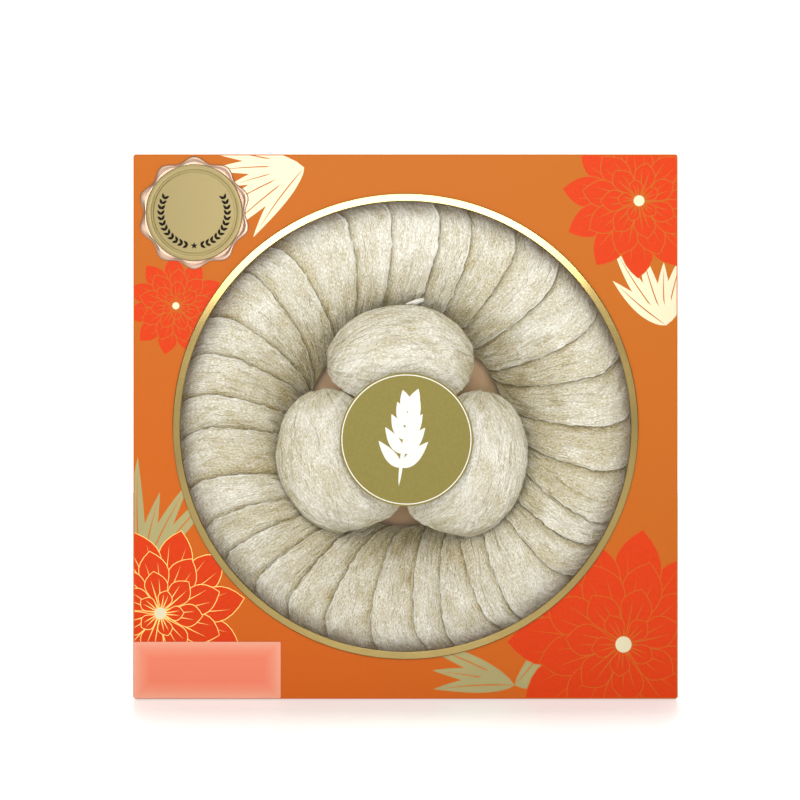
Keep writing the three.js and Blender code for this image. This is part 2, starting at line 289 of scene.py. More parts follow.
# Sprig on the label, from the label's centre, and the two edges of the thin ring.
SPRIG_FOOT = (-4, -24)
SPRIG_HEIGHT = 48
SPRIG_LEAN = 0.14
SPRIG_PAIRS = 5
SPRIG_FIRST = 0.2
SPRIG_STEP = 0.15
LABEL_RING = [(0.9, LABEL_INK), (1.4, LABEL_PAPER)]

# Loops of the seal: radius and depth on its disc, and radius, scallop and depth on its border.
SEAL_FACE_RADIUS = 20.6
SEAL_FACE = 0.9
SEAL_DISC_RIMS = [
    (SEAL_FACE_RADIUS, SEAL_FACE), (21.2, 0.78), (21.8, 0.78), (22.3, 0.95), (23.4, 1.0), (24.4, 0.98),
    (24.8, 0.8),
]
SEAL_BORDER = [
    (24.8, 0.0, 0.8), (24.95, 0.0, 0.36), (25.6, 0.5, 0.4), (26.5, 1.1, 0.74), (27.1, 1.4, 0.68),
    (27.6, 1.4, 0.36), (27.6, 1.4, STICKER_GAP),
]
WREATH_RADIUS = 17.0
WREATH_PAIRS = 12
WREATH_START = -79.0
WREATH_STEP = 9.4
WREATH_SPREAD = 38
WREATH_LEAF = (3.1, 1.45)
STAR_REACH = (1.9, 0.8)
STAR_CORNERS = 10

# Stage, in metres: each light's name, place, target, size and the setting for its power; then the floor,
# the wall and the camera.
LIGHTS = [
    ("key", (-0.2, -1.1, 1.3), (0, 0, 0.12), (1.0, 0.7), "key_power"),
    ("panel", (-0.03, -1.15, 0.59), (-0.03, 0, 0.3), (0.72, 0.52), "panel_power"),
    ("strip", (-0.025, -1.15, 0.355), (-0.025, 0, 0.355), (0.43, 0.13), "strip_power"),
    ("fill", (0.0, -1.3, 0.16), (0, 0, 0.14), (1.3, 0.28), "fill_power"),
]
WORLD_TINT = (1.0, 0.85, 0.6, 1.0)
WHITE = (1.0, 1.0, 1.0, 1.0)
FLOOR_DROP = -0.0004
FLOOR_CORNERS = [(-4, -4, FLOOR_DROP), (4, -4, FLOOR_DROP), (4, 3, FLOOR_DROP), (-4, 3, FLOOR_DROP)]
WALL_CORNERS = [(-6, 3, -2), (6, 3, -2), (6, 3, 5), (-6, 3, 5)]
WALL_GLOW = 1.2
FLOOR_GLOW = (0.52, 1.2)
GLOW_AT_BOX = 0.27
GLOW_PER_METRE = -3.9
CAMERA_DISTANCE = 0.9705
CAMERA_SHIFT = (-5.5 / 800, 26.5 / 800)
SENSOR_WIDTH = 36.0


def to_world(face):
    """Face-frame millimetres as frame metres."""
    face = np.asarray(face, dtype=float)
    return np.stack(
        [face[..., 0] * MM, FRONT - face[..., 2] * MM, CENTRE_HEIGHT + face[..., 1] * MM], axis=-1
    )


# Noise on a lattice, the same on every run.


def lattice(column, row, seed):
    """A fixed number between 0 and 1 for each lattice point."""
    mixed = np.sin(column * 127.1 + row * 311.7 + seed * 74.7) * 43758.5453
    return mixed - np.floor(mixed)


def smooth_noise(x, y, seed):
    """Value noise between 0 and 1, one wave for each unit of x and y."""
    column, row = np.floor(x), np.floor(y)
    right, up = x - column, y - row
    right = right * right * (3 - 2 * right)
    up = up * up * (3 - 2 * up)
    low = lattice(column, row, seed) * (1 - right) + lattice(column + 1, row, seed) * right
    high = lattice(column, row + 1, seed) * (1 - right) + lattice(column + 1, row + 1, seed) * right
    return low * (1 - up) + high * up


def ridge(value):
    """Turns smooth noise into narrow crests."""
    return 1 - np.abs(2 * value - 1)


def wobble(index):
    """A fixed wobble between -1 and 1, different for each ring nest."""
    mixed = math.sin(12.9898 * (index + 1)) * 43758.5453
    return 2 * (mixed - math.floor(mixed)) - 1


# Nest surfaces, in the face frame.


def unit(vectors):
    """Vectors brought to length 1."""
    return vectors / np.maximum(np.linalg.norm(vectors, axis=-1, keepdims=True), 1e-9)


def eased(share, curve):
    """An even share of a way and a squared one."""
    return curve[0] * share + curve[1] * share**2


def quarter_round(share):
    return 1 - np.sqrt(1 - np.clip(share, 0, 1) ** 2)


def lip_back(index, radius):
    """How far, in radians, a ring nest's lip lies back from its furthest point."""
    sweep = RING_NESTS[index % RING_COUNT][1]
    peak = min(PEAK_FURTHEST, PEAK_NEAREST + PEAK_PER_SWEEP * sweep)
    inward = sweep * quarter_round((peak - radius) / (peak - RING_INNER))
    outward = OUTER_SWEEP * quarter_round((radius - peak) / (RING_OUTER - peak))
    return (inward + outward) / radius


def band_angle(index, radius):
    """The angle from a nest's lip back to the lip of the nest that covers it."""
    turn = (RING_NESTS[index % RING_COUNT][0] - RING_NESTS[(index - 1) % RING_COUNT][0]) % 360
    return math.radians(turn) - lip_back(index, radius) + lip_back(index - 1, radius)


def lip_height(index, radius):
    """The height of a ring nest's lip over the tray's floor."""
    crest = CREST_HEIGHT + CREST_WOBBLE * wobble(index)
    crest = crest + math.sin(2 * math.radians(RING_NESTS[index][0]) + 1)
    climb = np.clip((radius - RING_INNER) / (RING_CREST_RADIUS - RING_INNER), 0, 1)
    inner = TIP_HEIGHT + (crest - TIP_HEIGHT) * np.sin(math.pi / 2 * climb)
    fall = np.clip((radius - RING_CREST_RADIUS) / (RING_OUTER - RING_CREST_RADIUS), 0, 1)
    outer = WALL_END_HEIGHT + (crest - WALL_END_HEIGHT) * np.sqrt(1 - fall**3)
    return np.where(radius < RING_CREST_RADIUS, inner, outer)


def ring_surface(index, radius, share, thickness):
    """Points of a ring nest: share runs from the lip, 0, under the next nest to the floor, 2."""
    band = band_angle(index, radius)
    tuck = TUCK_SHARE * band_angle(index - 1, radius)
    lip = lip_height(index, radius)
    step = np.minimum(LIP_STEP, TUCK_SHARE * (lip - NEST_FLOOR))
    shown = np.minimum(share, 1)
    hidden = np.maximum(share - 1, 0)
    fall = step * eased(shown, FALL_CURVE)
    dive = (lip - step - NEST_FLOOR) * eased(hidden, DIVE_CURVE)
    sideways = np.minimum(thickness * hidden / radius, TUCK_SHARE * band)
    height = np.maximum(lip - fall - dive - thickness * (1 - DIVE_THINNING * hidden), NEST_FLOOR)
    turn = math.radians(RING_NESTS[index][0]) - lip_back(index, radius)
    turn = turn - band * shown - tuck * hidden + sideways
    return np.stack([radius * np.sin(turn), radius * np.cos(turn), height - FLOOR_BACK], axis=-1)


def crown_reach(nest, along):
    """How far a centre nest's crown runs on inwards, rounding off towards both ends."""
    power = np.where(along < 0, nest[6][0], nest[6][1])
    rounding = 1 - np.minimum(1, np.abs(along / DOME_END)) ** power
    return np.maximum(CROWN_LEAST, nest[5] * np.sqrt(rounding))


def dome_surface(nest, along, turn, past, thickness):
    """Points of a centre nest: turn runs from the lip, 0, up to the arch, then past runs on to 1."""
    middle, facing, half_length, reach = nest[1:5]
    width = np.sqrt(1 - along**2)
    lip = DOME_FOOT_HEIGHT + (DOME_LIP_HEIGHT - DOME_FOOT_HEIGHT) * (1 - along**6)
    rise = (DOME_HEIGHT - DOME_LIP_HEIGHT) * width
    out = reach * width * np.clip(np.cos(turn), 0, 1) ** DOME_PLUMPNESS - thickness * np.cos(turn)
    out = out - crown_reach(nest, along) * past
    height = lip + rise * (np.sin(turn) ** DOME_PLUMPNESS - CROWN_DROP * past**2)
    height = height - thickness * np.sin(turn)
    side = half_length * along + 0 * turn
    angle = math.radians(facing)
    right = middle[0] + side * math.cos(angle) + out * math.sin(angle)
    up = middle[1] - side * math.sin(angle) + out * math.cos(angle)
    return np.stack([right, up, height - FLOOR_BACK], axis=-1)


def grid_normals(grid):
    """Unit normals of a grid of points, on the side that its rows and columns face."""
    return unit(np.cross(np.gradient(grid, axis=0), np.gradient(grid, axis=1)))


def column_lengths(grid):
    """Distance across each row from its first column."""
    steps = np.linalg.norm(np.diff(grid, axis=1), axis=-1)
    return np.concatenate([np.zeros((grid.shape[0], 1)), np.cumsum(steps, axis=1)], axis=1)


def relief_layer(along, across, seed, layer, ridged=False):
    """One layer of the relief, from half its height below the surface to half above."""
    long, wide, height = layer
    value = smooth_noise(along / long, across / wide, seed)
    return height * ((ridge(value) if ridged else value) - 0.5)


def strand_relief(along, across, seed):
    """Felted ridges that run along the nest, in millimetres."""
    sway = relief_layer(along, across, seed, LONG_SWAY) + relief_layer(along, across, seed + 5, SHORT_SWAY)
    moved = across + sway
    lumps = relief_layer(along, moved, seed + 1, LUMPS)
    ropes = relief_layer(along, moved, seed + 2, ROPES, ridged=True)
    threads = relief_layer(along, moved, seed + 3, THREADS, ridged=True)
    grain = relief_layer(along, across, seed + 4, GRAIN)
    return lumps + ropes + threads + grain


def ring_grids(index):
    """Outside and inside of a ring nest, before its relief."""
    along = -np.cos(np.linspace(0, math.pi, RING_ROWS))[:, None]
    radius = (RING_INNER + RING_OUTER) / 2 + along * (RING_OUTER - RING_INNER) / 2
    taper = np.sqrt(np.clip(1 - along**4, 0, 1))
    outside = ring_surface(index, radius, RING_SHARES[None, :], 0 * taper)
    back = np.linspace(2, 0, 9)[None, :]
    wall = taper * np.where(back == 0, NEST_LIP, NEST_WALL)
    return outside, ring_surface(index, radius, back, wall), taper[:, 0]


def dome_grids(nest):
    """Outside and inside of a centre nest, before its relief."""
    along = DOME_END * np.cos(np.linspace(0, math.pi, DOME_ROWS))[:, None]
    taper = np.sqrt(np.clip(1 - (along / DOME_END) ** 4, 0, 1))
    turns = np.concatenate([np.linspace(0, math.pi / 2, DOME_COLUMNS), np.full(CROWN_COLUMNS, math.pi / 2)])
    past = np.concatenate([np.zeros(DOME_COLUMNS), np.linspace(0, 1, CROWN_COLUMNS + 1)[1:]])
    outside = dome_surface(nest, along, turns[None, :], past[None, :], 0 * taper)
    back = np.concatenate([np.full(3, math.pi / 2), np.linspace(math.pi / 2, 0, 10)])[None, :]
    back_past = np.concatenate([[1, 2 / 3, 1 / 3], np.zeros(10)])[None, :]
    wall = taper * np.where(back == 0, NEST_LIP, NEST_WALL)
    return outside, dome_surface(nest, along, back, back_past, wall), taper[:, 0]


def matted(outside, taper, seed, relief):
    """The outside with its ridges, the height of the ridges, and the distances along and across."""
    across = column_lengths(outside)
    along = column_lengths(outside.swapaxes(0, 1)).swapaxes(0, 1)
    heights = strand_relief(along, across, seed) * np.minimum(1, END_RELIEF * taper)[:, None]
    lip = 0 * along
    ragged = relief_layer(along, lip, seed + 8, COARSE_RAGS) + relief_layer(along, lip, seed + 9, FINE_RAGS)
    ragged = ragged * np.exp(-across / RAG_WIDTH) * taper[:, None]
    outward = unit(outside[:, :1] - outside[:, 4:5])
    matte = outside + (grid_normals(outside) * heights[..., None] + outward * ragged[..., None]) * relief
    return matte, heights, along, across


def lip_columns(inside_edge, outside_edge, taper):
    """Columns that round the lip, from its underside to its top."""
    bulge = unit(np.cross(np.gradient(outside_edge, axis=0), outside_edge - inside_edge))
    columns = []
    for part in LIP_PARTS:
        flat = inside_edge + (outside_edge - inside_edge) * part
        columns.append(flat - bulge * LIP_BULGE * math.sin(math.pi * part) * taper[:, None])
    return np.stack(columns, axis=1)


# Mesh helpers.


def link(name, mesh):
    """A new object for a mesh, in the scene."""
    made = bpy.data.objects.new(name, mesh)
    bpy.context.scene.collection.objects.link(made)
    return made


def finish_piece(piece, slot, *nodes):
    """Ties a finished piece to the frame and hides the nodes that it stands for; the slot is not used."""
    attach(piece, "root")
    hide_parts(*nodes)


def add_values(mesh, name, values):
    layer = mesh.attributes.new(name, "FLOAT", "POINT")
    layer.data.foreach_set("value", np.asarray(values, dtype=np.float32).ravel())


def wrapped_quads(rows, columns):
    """Quads over a grid whose last column joins its first."""
    row, column = np.meshgrid(np.arange(rows - 1), np.arange(columns), indexing="ij")
    beside = (column + 1) % columns
    quads = [row * columns + column, (row + 1) * columns + column]
    quads += [(row + 1) * columns + beside, row * columns + beside]
    return np.stack(quads, axis=-1).reshape(-1, 4)


def weld(mesh, distance=1e-6):
    """Merges doubled points, and turns all faces outwards."""
    work = bmesh.new()
    work.from_mesh(mesh)
    bmesh.ops.remove_doubles(work, verts=work.verts, dist=distance)
    bmesh.ops.recalc_face_normals(work, faces=work.faces)
    work.to_mesh(mesh)
    work.free()


def smooth(mesh):
    mesh.polygons.foreach_set("use_smooth", [True] * len(mesh.polygons))


def painted_depth_shade(places):
    """Painted shade: how much darker a nest's tone is painted low in the box, where shade falls, as a share
    of the tone.
    """
    low = CREST_HEIGHT - PAINTED_SHADE_BELOW_CREST - FLOOR_BACK - places[..., 2]
    return PAINTED_DEPTH_SHADE * np.clip(low / CREST_HEIGHT, 0, 1)


def painted_tuck_shadow():
    """Painted shadow: how much darker each column of a ring nest is painted where the next nest's lip covers
    and shades it.
    """
    return PAINTED_TUCK_SHADOW * np.clip((RING_SHARES - PAINTED_TUCK_SHADOW_START) / PAINTED_TUCK_SHADOW_LENGTH, 0, 1) ** 2


def strand_map(mesh, distance, seed):
    """A map in metres along and across a nest's strands, at another place for each nest."""
    layer = mesh.uv_layers.new(name="Strands")
    corners = np.empty(len(mesh.loops), dtype=np.int32)
    mesh.loops.foreach_get("vertex_index", corners)
    places = distance.reshape(-1, 2)[corners] * MM + seed * MAP_STEP
    layer.data.foreach_set("uv", places.astype(np.float32).ravel())


def nest_body(name, grids, seed, relief, tint, shade=0.0):
    """The closed, matted body of one nest, with its strand map and tone; shade is a painted shadow taken off
    the tone where the next nest covers it.
    """
    outside, inside, taper = grids
    matte, heights, along, across = matted(outside, taper, seed, relief)
    rounded = lip_columns(inside[:, -1], matte[:, 0], taper)
    grid = np.concatenate([rounded, matte, inside], axis=1)
    rows, columns = grid.shape[:2]
    mesh = bpy.data.meshes.new(name)
    mesh.from_pydata(to_world(grid.reshape(-1, 3)).tolist(), [], wrapped_quads(rows, columns).tolist())
    lip = rounded.shape[1]
    shown = slice(lip, lip + matte.shape[1])
    # The hidden inside starts at the painted shade tone.
    tone = np.full((rows, columns), HIDDEN_TONE)
    # Ridges painted lighter and furrows darker, as painted shade.
    tone[:, shown] = MATTED_TONE + RIDGE_TONE * heights - shade
    # The lip gets a painted highlight.
    tone[:, :lip] = LIP_TONE
    tone[:, lip:lip + len(LIP_PAINTED_HIGHLIGHT)] += LIP_PAINTED_HIGHLIGHT
    # Painted shade low in the box is taken off the tone.
    add_values(mesh, "tone", tone + tint - painted_depth_shade(grid))
    distance = np.zeros((rows, columns, 2))
    distance[:, shown, 0] = along
    distance[:, shown, 1] = across
    strand_map(mesh, distance, seed)
    weld(mesh)
    smooth(mesh)
    return mesh, matte


# Strands that lie on a nest, as paths for the strand nodes.


def on_grid(grid, row, column):
    """Points between a grid's rows and columns."""
    row = np.clip(row, 0, grid.shape[0] - 1.001)
    column = np.clip(column, 0, grid.shape[1] - 1.001)
    low, left = row.astype(int), column.astype(int)
    down, right = (row - low)[..., None], (column - left)[..., None]
    first = grid[low, left] * (1 - right) + grid[low, left + 1] * right
    second = grid[low + 1, left] * (1 - right) + grid[low + 1, left + 1] * right
    return first * (1 - down) + second * down


def lifted(matte, row, column, lift):
    """Points over a nest's surface, lifted along its normals."""
    return on_grid(matte, row, column) + on_grid(grid_normals(matte), row, column) * lift[..., None]


def lying_strands(matte, dice, count, last_column):
    """Short strands that follow the nest loosely, dipping under its surface at both ends."""
    rows = matte.shape[0]
    one_each = (count, 1)
    share = np.linspace(0, 1, STRAND_POINTS)[None, :]
    start = dice.uniform(*LYING_START, one_each) * rows
    length = dice.uniform(*LYING_LENGTH, one_each) * rows
    column = dice.uniform(0, 1, one_each) * last_column
    sway = dice.normal(0, LYING_SWAY, one_each) * np.sin(share * dice.uniform(*LYING_WAVES, one_each))
    drift = dice.normal(0, LYING_DRIFT, one_each) * (share - 0.5)
    row = np.clip(start + length * share, ROW_MARGINS[0], rows - ROW_MARGINS[1])
    column = np.clip(np.abs(column + sway + drift), 0, last_column)
    lift = dice.uniform(*LYING_LIFT, one_each) * np.sin(math.pi * share) - LYING_SINK
    loose = dice.uniform(0, 1, one_each) < LOOSE_SHARE
    lift = np.where(loose, lift + LOOSE_LIFT * share**3, lift)
    return lifted(matte, row, column, lift)


def lip_strands(matte, dice, count):
    """Strands along the lip, which make its bright ragged edge."""
    rows = matte.shape[0]
    one_each = (count, 1)
    share = np.linspace(0, 1, STRAND_POINTS)[None, :]
    start = dice.uniform(*LIP_START, one_each) * rows
    length = dice.uniform(*LIP_LENGTH, one_each) * rows
    row = np.clip(start + length * share, ROW_MARGINS[0], rows - ROW_MARGINS[1])
    column = dice.uniform(*LIP_COLUMNS, one_each)
    column = np.abs(column + dice.normal(0, LIP_WAVER, (count, STRAND_POINTS)))
    lift = dice.uniform(*LIP_LIFT, one_each) * np.sin(math.pi * share)
    return lifted(matte, row, column, lift)


def end_frays(matte, dice, count, last_column):
    """Short strands that stick out past the nest's first row."""
    share = np.linspace(0, 1, FRAY_POINTS)[None, :, None]
    column = dice.uniform(0, last_column, (count, 1))
    root = on_grid(matte, np.full((count, 1), FRAY_ROOT_ROW), column)
    outward = unit(root - on_grid(matte, np.full((count, 1), FRAY_INNER_ROW), column))
    stray = dice.normal(0, FRAY_STRAY, (count, 1, 3)) * share
    reach = dice.uniform(*FRAY_REACH, (count, 1, 1))
    return root + (outward + stray) * reach * share


def flake_strands(dice):
    """A small curled flake, caught above the top dome."""
    share = np.linspace(0, 1, FLAKE_POINTS)[None, :]
    long, high, deep = FLAKE_SIZE
    curl = [long * (share - 0.5), high * (share - 0.5), deep * np.sin(math.pi * share)]
    places = np.stack(curl, axis=-1) + np.array(FLAKE_PLACE)
    return places + dice.normal(0, FLAKE_SPREAD, (FLAKE_STRANDS, 1, 3))


def strand_groups(matte, dice, lying, last_column, lip, frays, fray_column):
    """A nest's strands in the order of their random draws, each group with its radius and tone."""
    return [
        (lying_strands(matte, dice, lying, last_column), *LYING_STRAND),
        (lip_strands(matte, dice, lip), *LIP_STRAND),
        (end_frays(matte, dice, frays, fray_column), *FRAY_STRAND),
    ]


def path_mesh(name, groups, dice, tint):
    """One mesh of edges for all strands of a nest, with each point's radius and tone."""
    places, edges, radii, tones = [], [], [], []
    first = 0
    for strands, radius, tone in groups:
        count, points = strands.shape[:2]
        index = first + np.arange(count * points).reshape(count, points)
        first += count * points
        places.append(strands.reshape(-1, 3))
        edges.append(np.stack([index[:, :-1], index[:, 1:]], axis=-1).reshape(-1, 2))
        thin = TIP_SHARE + MIDDLE_SHARE * np.sin(np.linspace(TIP_ANGLE, math.pi - TIP_ANGLE, points))
        radii.append((dice.uniform(*RADIUS_RANGE, (count, 1)) * radius * thin[None, :]).ravel())
        own_tone = dice.normal(tone + tint, STRAND_TONE_SPREAD, (count, 1))
        # Strands low in the box get the same painted shade.
        tones.append((own_tone - painted_depth_shade(strands)).ravel())
    mesh = bpy.data.meshes.new(name)
    mesh.from_pydata(to_world(np.concatenate(places)).tolist(), np.concatenate(edges).tolist(), [])
    add_values(mesh, "strand_radius", np.concatenate(radii))
    add_values(mesh, "tone", np.concatenate(tones))
    return mesh


STRAND_SOCKETS = {
    "Geometry": "NodeSocketGeometry",
    "Strand Paths": "NodeSocketObject",
    "Strand Radius": "NodeSocketFloat",
    "Strand Sides": "NodeSocketInt",
    "Finish": "NodeSocketMaterial",
}
STRAND_PARTS = {
    "given": "NodeGroupInput",
    "paths": "GeometryNodeObjectInfo",
    "curves": "GeometryNodeMeshToCurve",
    "taper": "GeometryNodeInputNamedAttribute",
    "size": "ShaderNodeMath",
    "section": "GeometryNodeCurvePrimitiveCircle",
    "sweep": "GeometryNodeCurveToMesh",
    "shade": "GeometryNodeSetShadeSmooth",
    "join": "GeometryNodeJoinGeometry",
    "real": "GeometryNodeRealizeInstances",
    "finish": "GeometryNodeSetMaterial",
    "made": "NodeGroupOutput",
}
STRAND_WIRES = [
    ("given", "Strand Paths", "paths", "Object"),
    ("paths", "Geometry", "curves", "Mesh"),
    ("taper", "Attribute", "size", 0),
    ("given", "Strand Radius", "size", 1),
    ("size", "Value", "sweep", "Scale"),
    ("given", "Strand Sides", "section", "Resolution"),
    ("curves", "Curve", "sweep", "Curve"),
    ("section", "Curve", "sweep", "Profile Curve"),
    ("sweep", "Mesh", "shade", "Geometry"),
    ("shade", "Geometry", "join", "Geometry"),
    ("given", "Geometry", "join", "Geometry"),
    ("join", "Geometry", "real", "Geometry"),
    ("real", "Geometry", "finish", "Geometry"),
    ("given", "Finish", "finish", "Material"),
    ("finish", "Geometry", "made", "Geometry"),
]


def strand_tree():
    """Nodes that sweep a round section along a nest's strand paths, and join them to its body."""
    tree = bpy.data.node_groups.new(STRAND_NODES, "GeometryNodeTree")
    for name, kind in STRAND_SOCKETS.items():
        tree.interface.new_socket(name, in_out="INPUT", socket_type=kind)
    tree.interface.new_socket("Geometry", in_out="OUTPUT", socket_type="NodeSocketGeometry")
    parts = {name: tree.nodes.new(kind) for name, kind in STRAND_PARTS.items()}
    parts["taper"].data_type = "FLOAT"
    parts["taper"].inputs["Name"].default_value = "strand_radius"
    parts["size"].operation = "MULTIPLY"
    parts["section"].inputs["Radius"].default_value = 1.0
    parts["sweep"].inputs["Fill Caps"].default_value = True
    for source, out, target, into in STRAND_WIRES:
        tree.links.new(parts[source].outputs[out], parts[target].inputs[into])
    return tree


def set_inputs(modifier, values):
    """Sets a modifier's inputs by their sockets' identifiers."""
    for item in modifier.node_group.interface.items_tree:
        if item.in_out == "INPUT" and item.name in values:
            modifier[item.identifier] = values[item.name]


def settled(piece):
    """Turns a piece's modifiers into plain mesh."""
    bpy.context.view_layer.update()
    graph = bpy.context.evaluated_depsgraph_get()
    mesh = bpy.data.meshes.new_from_object(piece.evaluated_get(graph))
    old = piece.data
    piece.modifiers.clear()
    piece.data = mesh
    bpy.data.meshes.remove(old)
    mesh.name = piece.name


def nest_makings():
    """The strand nodes and the nest finish, made once for all nests."""
    tree = bpy.data.node_groups.get(STRAND_NODES) or strand_tree()
    finish = bpy.data.materials.get(NEST_FINISH) or nest_material()
    return tree, finish


def stranded_nest(name, mesh, paths, settings):
    """A nest's body with its strands swept on, as one plain mesh."""
    tree, finish = nest_makings()
    piece = link(name + "_strands", mesh)
    guide = link(name + "_paths", paths)
    modifier = piece.modifiers.new("Strands", "NODES")
    modifier.node_group = tree
    set_inputs(
        modifier,
        {
            "Strand Paths": guide,
            "Strand Radius": settings.strand_radius,
            "Strand Sides": STRAND_SIDES,
            "Finish": finish,
        },
    )
    settled(piece)
    bpy.data.objects.remove(guide)
    bpy.data.meshes.remove(paths)
    finish_piece(piece, "nest", name)


# Flat artwork, cut into the face as flush regions.


def counter_clockwise(outline):
    area = 0.0
    for (ax, ay), (bx, by) in zip(outline, outline[1:] + outline[:1]):
        area += ax * by - bx * ay
    return outline if area > 0 else outline[::-1]


def polar(centre, radius, turn):
    return (centre[0] + radius * math.cos(turn), centre[1] + radius * math.sin(turn))


def circle(centre, radius, steps):
    return [polar(centre, radius, 2 * math.pi * k / steps) for k in range(steps)]


def leaf(root, angle, length, width, bend=0.0, steps=14, blunt=0.0):
    """A leaf or petal outline that grows from root, angle in degrees counter-clockwise from right."""
    turn = math.radians(angle)
    sides = ([], [])
    for k in range(steps + 1):
        part = k / steps
        swell = math.sin(math.pi * part ** (LEAF_SHOULDER + blunt)) ** LEAF_ROUNDNESS if 0 < part < 1 else 0
        half = 0.5 * width * swell
        middle = bend * length * part * part
        for side, sign in zip(sides, (1, -1)):
            forward, across = length * part, middle + sign * half
            side.append(
                (
                    root[0] + forward * math.cos(turn) - across * math.sin(turn),
                    root[1] + forward * math.sin(turn) + across * math.cos(turn),
                )
            )
    return sides[0] + sides[1][-2:0:-1]


def shrunk(outline, by):
    """An outline drawn in by a distance along its corners' bisectors."""
    outline = counter_clockwise(outline)
    count = len(outline)
    drawn = []
    for k, place in enumerate(outline):
        before = Vector(outline[k - 1])
        after = Vector(outline[(k + 1) % count])
        along = after - before
        if along.length < 1e-9:
            drawn.append(place)
            continue
        inward = Vector((-along.y, along.x)).normalized() * by
        drawn.append((place[0] + inward.x, place[1] + inward.y))
    return drawn


def within(points, outline):
    """Which of the points lie inside an outline."""
    outline = np.asarray(outline)
    low, high = outline.min(axis=0), outline.max(axis=0)
    inside = np.all((points >= low) & (points <= high), axis=1)
    near = points[inside]
    crossings = np.zeros(len(near), dtype=int)
    for (ax, ay), (bx, by) in zip(outline, np.roll(outline, -1, axis=0)):
        if ay == by:
            continue
        spans = (near[:, 1] < ay) != (near[:, 1] < by)
        crossings += spans & (near[:, 0] < ax + (near[:, 1] - ay) * (bx - ax) / (by - ay))
    inside[inside] = crossings % 2 == 1
    return inside


def cut_face(base, hole, shapes):
    """Triangles of a base outline without its hole, each with the kind of the topmost shape on it."""
    places, edges = [], []
    for outline in [base] + ([hole] if hole else []) + [outline for outline, _ in shapes]:
        first, count = len(places), len(outline)
        places += [Vector(place) for place in outline]
        edges += [(first + k, first + (k + 1) % count) for k in range(count)]
    made = delaunay_2d_cdt(places, edges, [], 0, 1e-4)
    corners = np.array([tuple(place) for place in made[0]])
    triangles = np.array(made[2])
    middles = corners[triangles].mean(axis=1)
    kept = within(middles, base)
    if hole:
        kept &= ~within(middles, hole)
    kinds = np.zeros(len(triangles), dtype=int)
    for outline, kind in shapes:
        kinds[within(middles, outline)] = kind
    used, triangles = np.unique(triangles[kept], return_inverse=True)
    return corners[used].tolist(), triangles.reshape(-1, 3).tolist(), kinds[kept].tolist()


def rounded_square(half_wide, half_high, corner, centre=(0.0, 0.0), steps=5):
    """Points round a rectangle with rounded corners, counter-clockwise."""
    points = []
    for quarter, (right, up) in enumerate(((1, 1), (-1, 1), (-1, -1), (1, -1))):
        for k in range(steps + 1):
            turn = math.pi / 2 * (quarter + k / steps)
            points.append(
                (
                    centre[0] + right * (half_wide - corner) + corner * math.cos(turn),
                    centre[1] + up * (half_high - corner) + corner * math.sin(turn),
                )
            )
    return points


class Shell:
    """Collects loops, caps and flat art into one mesh in the face frame."""

    def __init__(self):
        self.points = []
        self.faces = []
        self.kinds = []

    def add(self, points, faces, kinds):
        first = len(self.points)
        self.points += points
        self.faces += [[first + corner for corner in face] for face in faces]
        self.kinds += kinds

    def loops(self, loops, kind=0):
        """Quads between loops of equal length, given as 3D points."""
        count = len(loops[0])
        faces = []
        for row in range(len(loops) - 1):
            low, high = row * count, (row + 1) * count
            for k in range(count):
                beside = (k + 1) % count
                faces.append([low + k, low + beside, high + beside, high + k])
        self.add([place for loop in loops for place in loop], faces, [kind] * len(faces))

    def cap(self, loop, kind=0):
        self.add(list(loop), [list(range(len(loop)))], [kind])

    def flat(self, cut, depth):
        places, triangles, kinds = cut
        self.add([(x, y, depth) for x, y in places], triangles, kinds)

    def mesh(self, name, materials):
        made = bpy.data.meshes.new(name)
        made.from_pydata(to_world(self.points).tolist(), [], self.faces)
        made.polygons.foreach_set("material_index", self.kinds)
        for material in materials:
            made.materials.append(material)
        weld(made, 2e-6)
        return made


def at_depth(outline, depth):
    return [(x, y, depth) for x, y in outline]


# Materials.

# Colours of the mottled finishes, each with its place between 0 and 1.
NEST_TONES = [
    (0.0, (0.23, 0.17, 0.05)),
    (0.3, (0.44, 0.375, 0.19)),
    (0.62, (0.61, 0.58, 0.465)),
    (1.0, (0.88, 0.88, 0.835)),
]
WRAP_TONES = [(0.0, (0.55, 0.11, 0.009)), (0.45, (0.475, 0.12, 0.011)), (1.0, (0.46, 0.135, 0.012))]
TRAY_TONES = [(0.4, (0.4, 0.25, 0.08)), (0.7, (0.72, 0.44, 0.23))]
STRIP_TONES = [(0.0, (0.78, 0.37, 0.27)), (0.5, (0.78, 0.27, 0.18)), (1.0, (0.77, 0.21, 0.13))]
# The places of a print's or a foil's darker and lighter tone.
MOTTLE_DARK, MOTTLE_LIGHT = 0.3, 0.7

# Waves to the metre of the paper's fibres and of a nest's grain, the weights of what colours a nest and
# the wrap, the width of the strip's pale edge in metres, and the foil's change in roughness.
PRINT_GLOSS = 0.08
FIBRES = (900, 900, 900)
FINE_STRANDS = (700, 1700, 1)
BROAD_STRANDS = (170, 620, 1)
FINE_WEIGHT = 1.7
BROAD_WEIGHT = 0.36
BLOTCH_WEIGHT = 0.16
YELLOW_RIGHTWARD = 1.1
YELLOW_UPWARD = 2.6
YELLOW_FIBRES = 0.08
STRIP_MARGIN = 0.009
STRIP_GRAIN = 0.12
FOIL_HAZE = 0.08


def new_material(name, colour, roughness, metallic=0.0):
    made = bpy.data.materials.new(name)
    made.use_nodes = True
    made.diffuse_color = (*colour, 1.0)
    surface = made.node_tree.nodes["Principled BSDF"]
    surface.inputs["Base Color"].default_value = (*colour, 1.0)
    surface.inputs["Roughness"].default_value = roughness
    surface.inputs["Metallic"].default_value = metallic
    return made, made.node_tree, surface


def add_node(tree, kind, **settings):
    made = tree.nodes.new(kind)
    for name, value in settings.items():
        setattr(made, name, value)
    return made


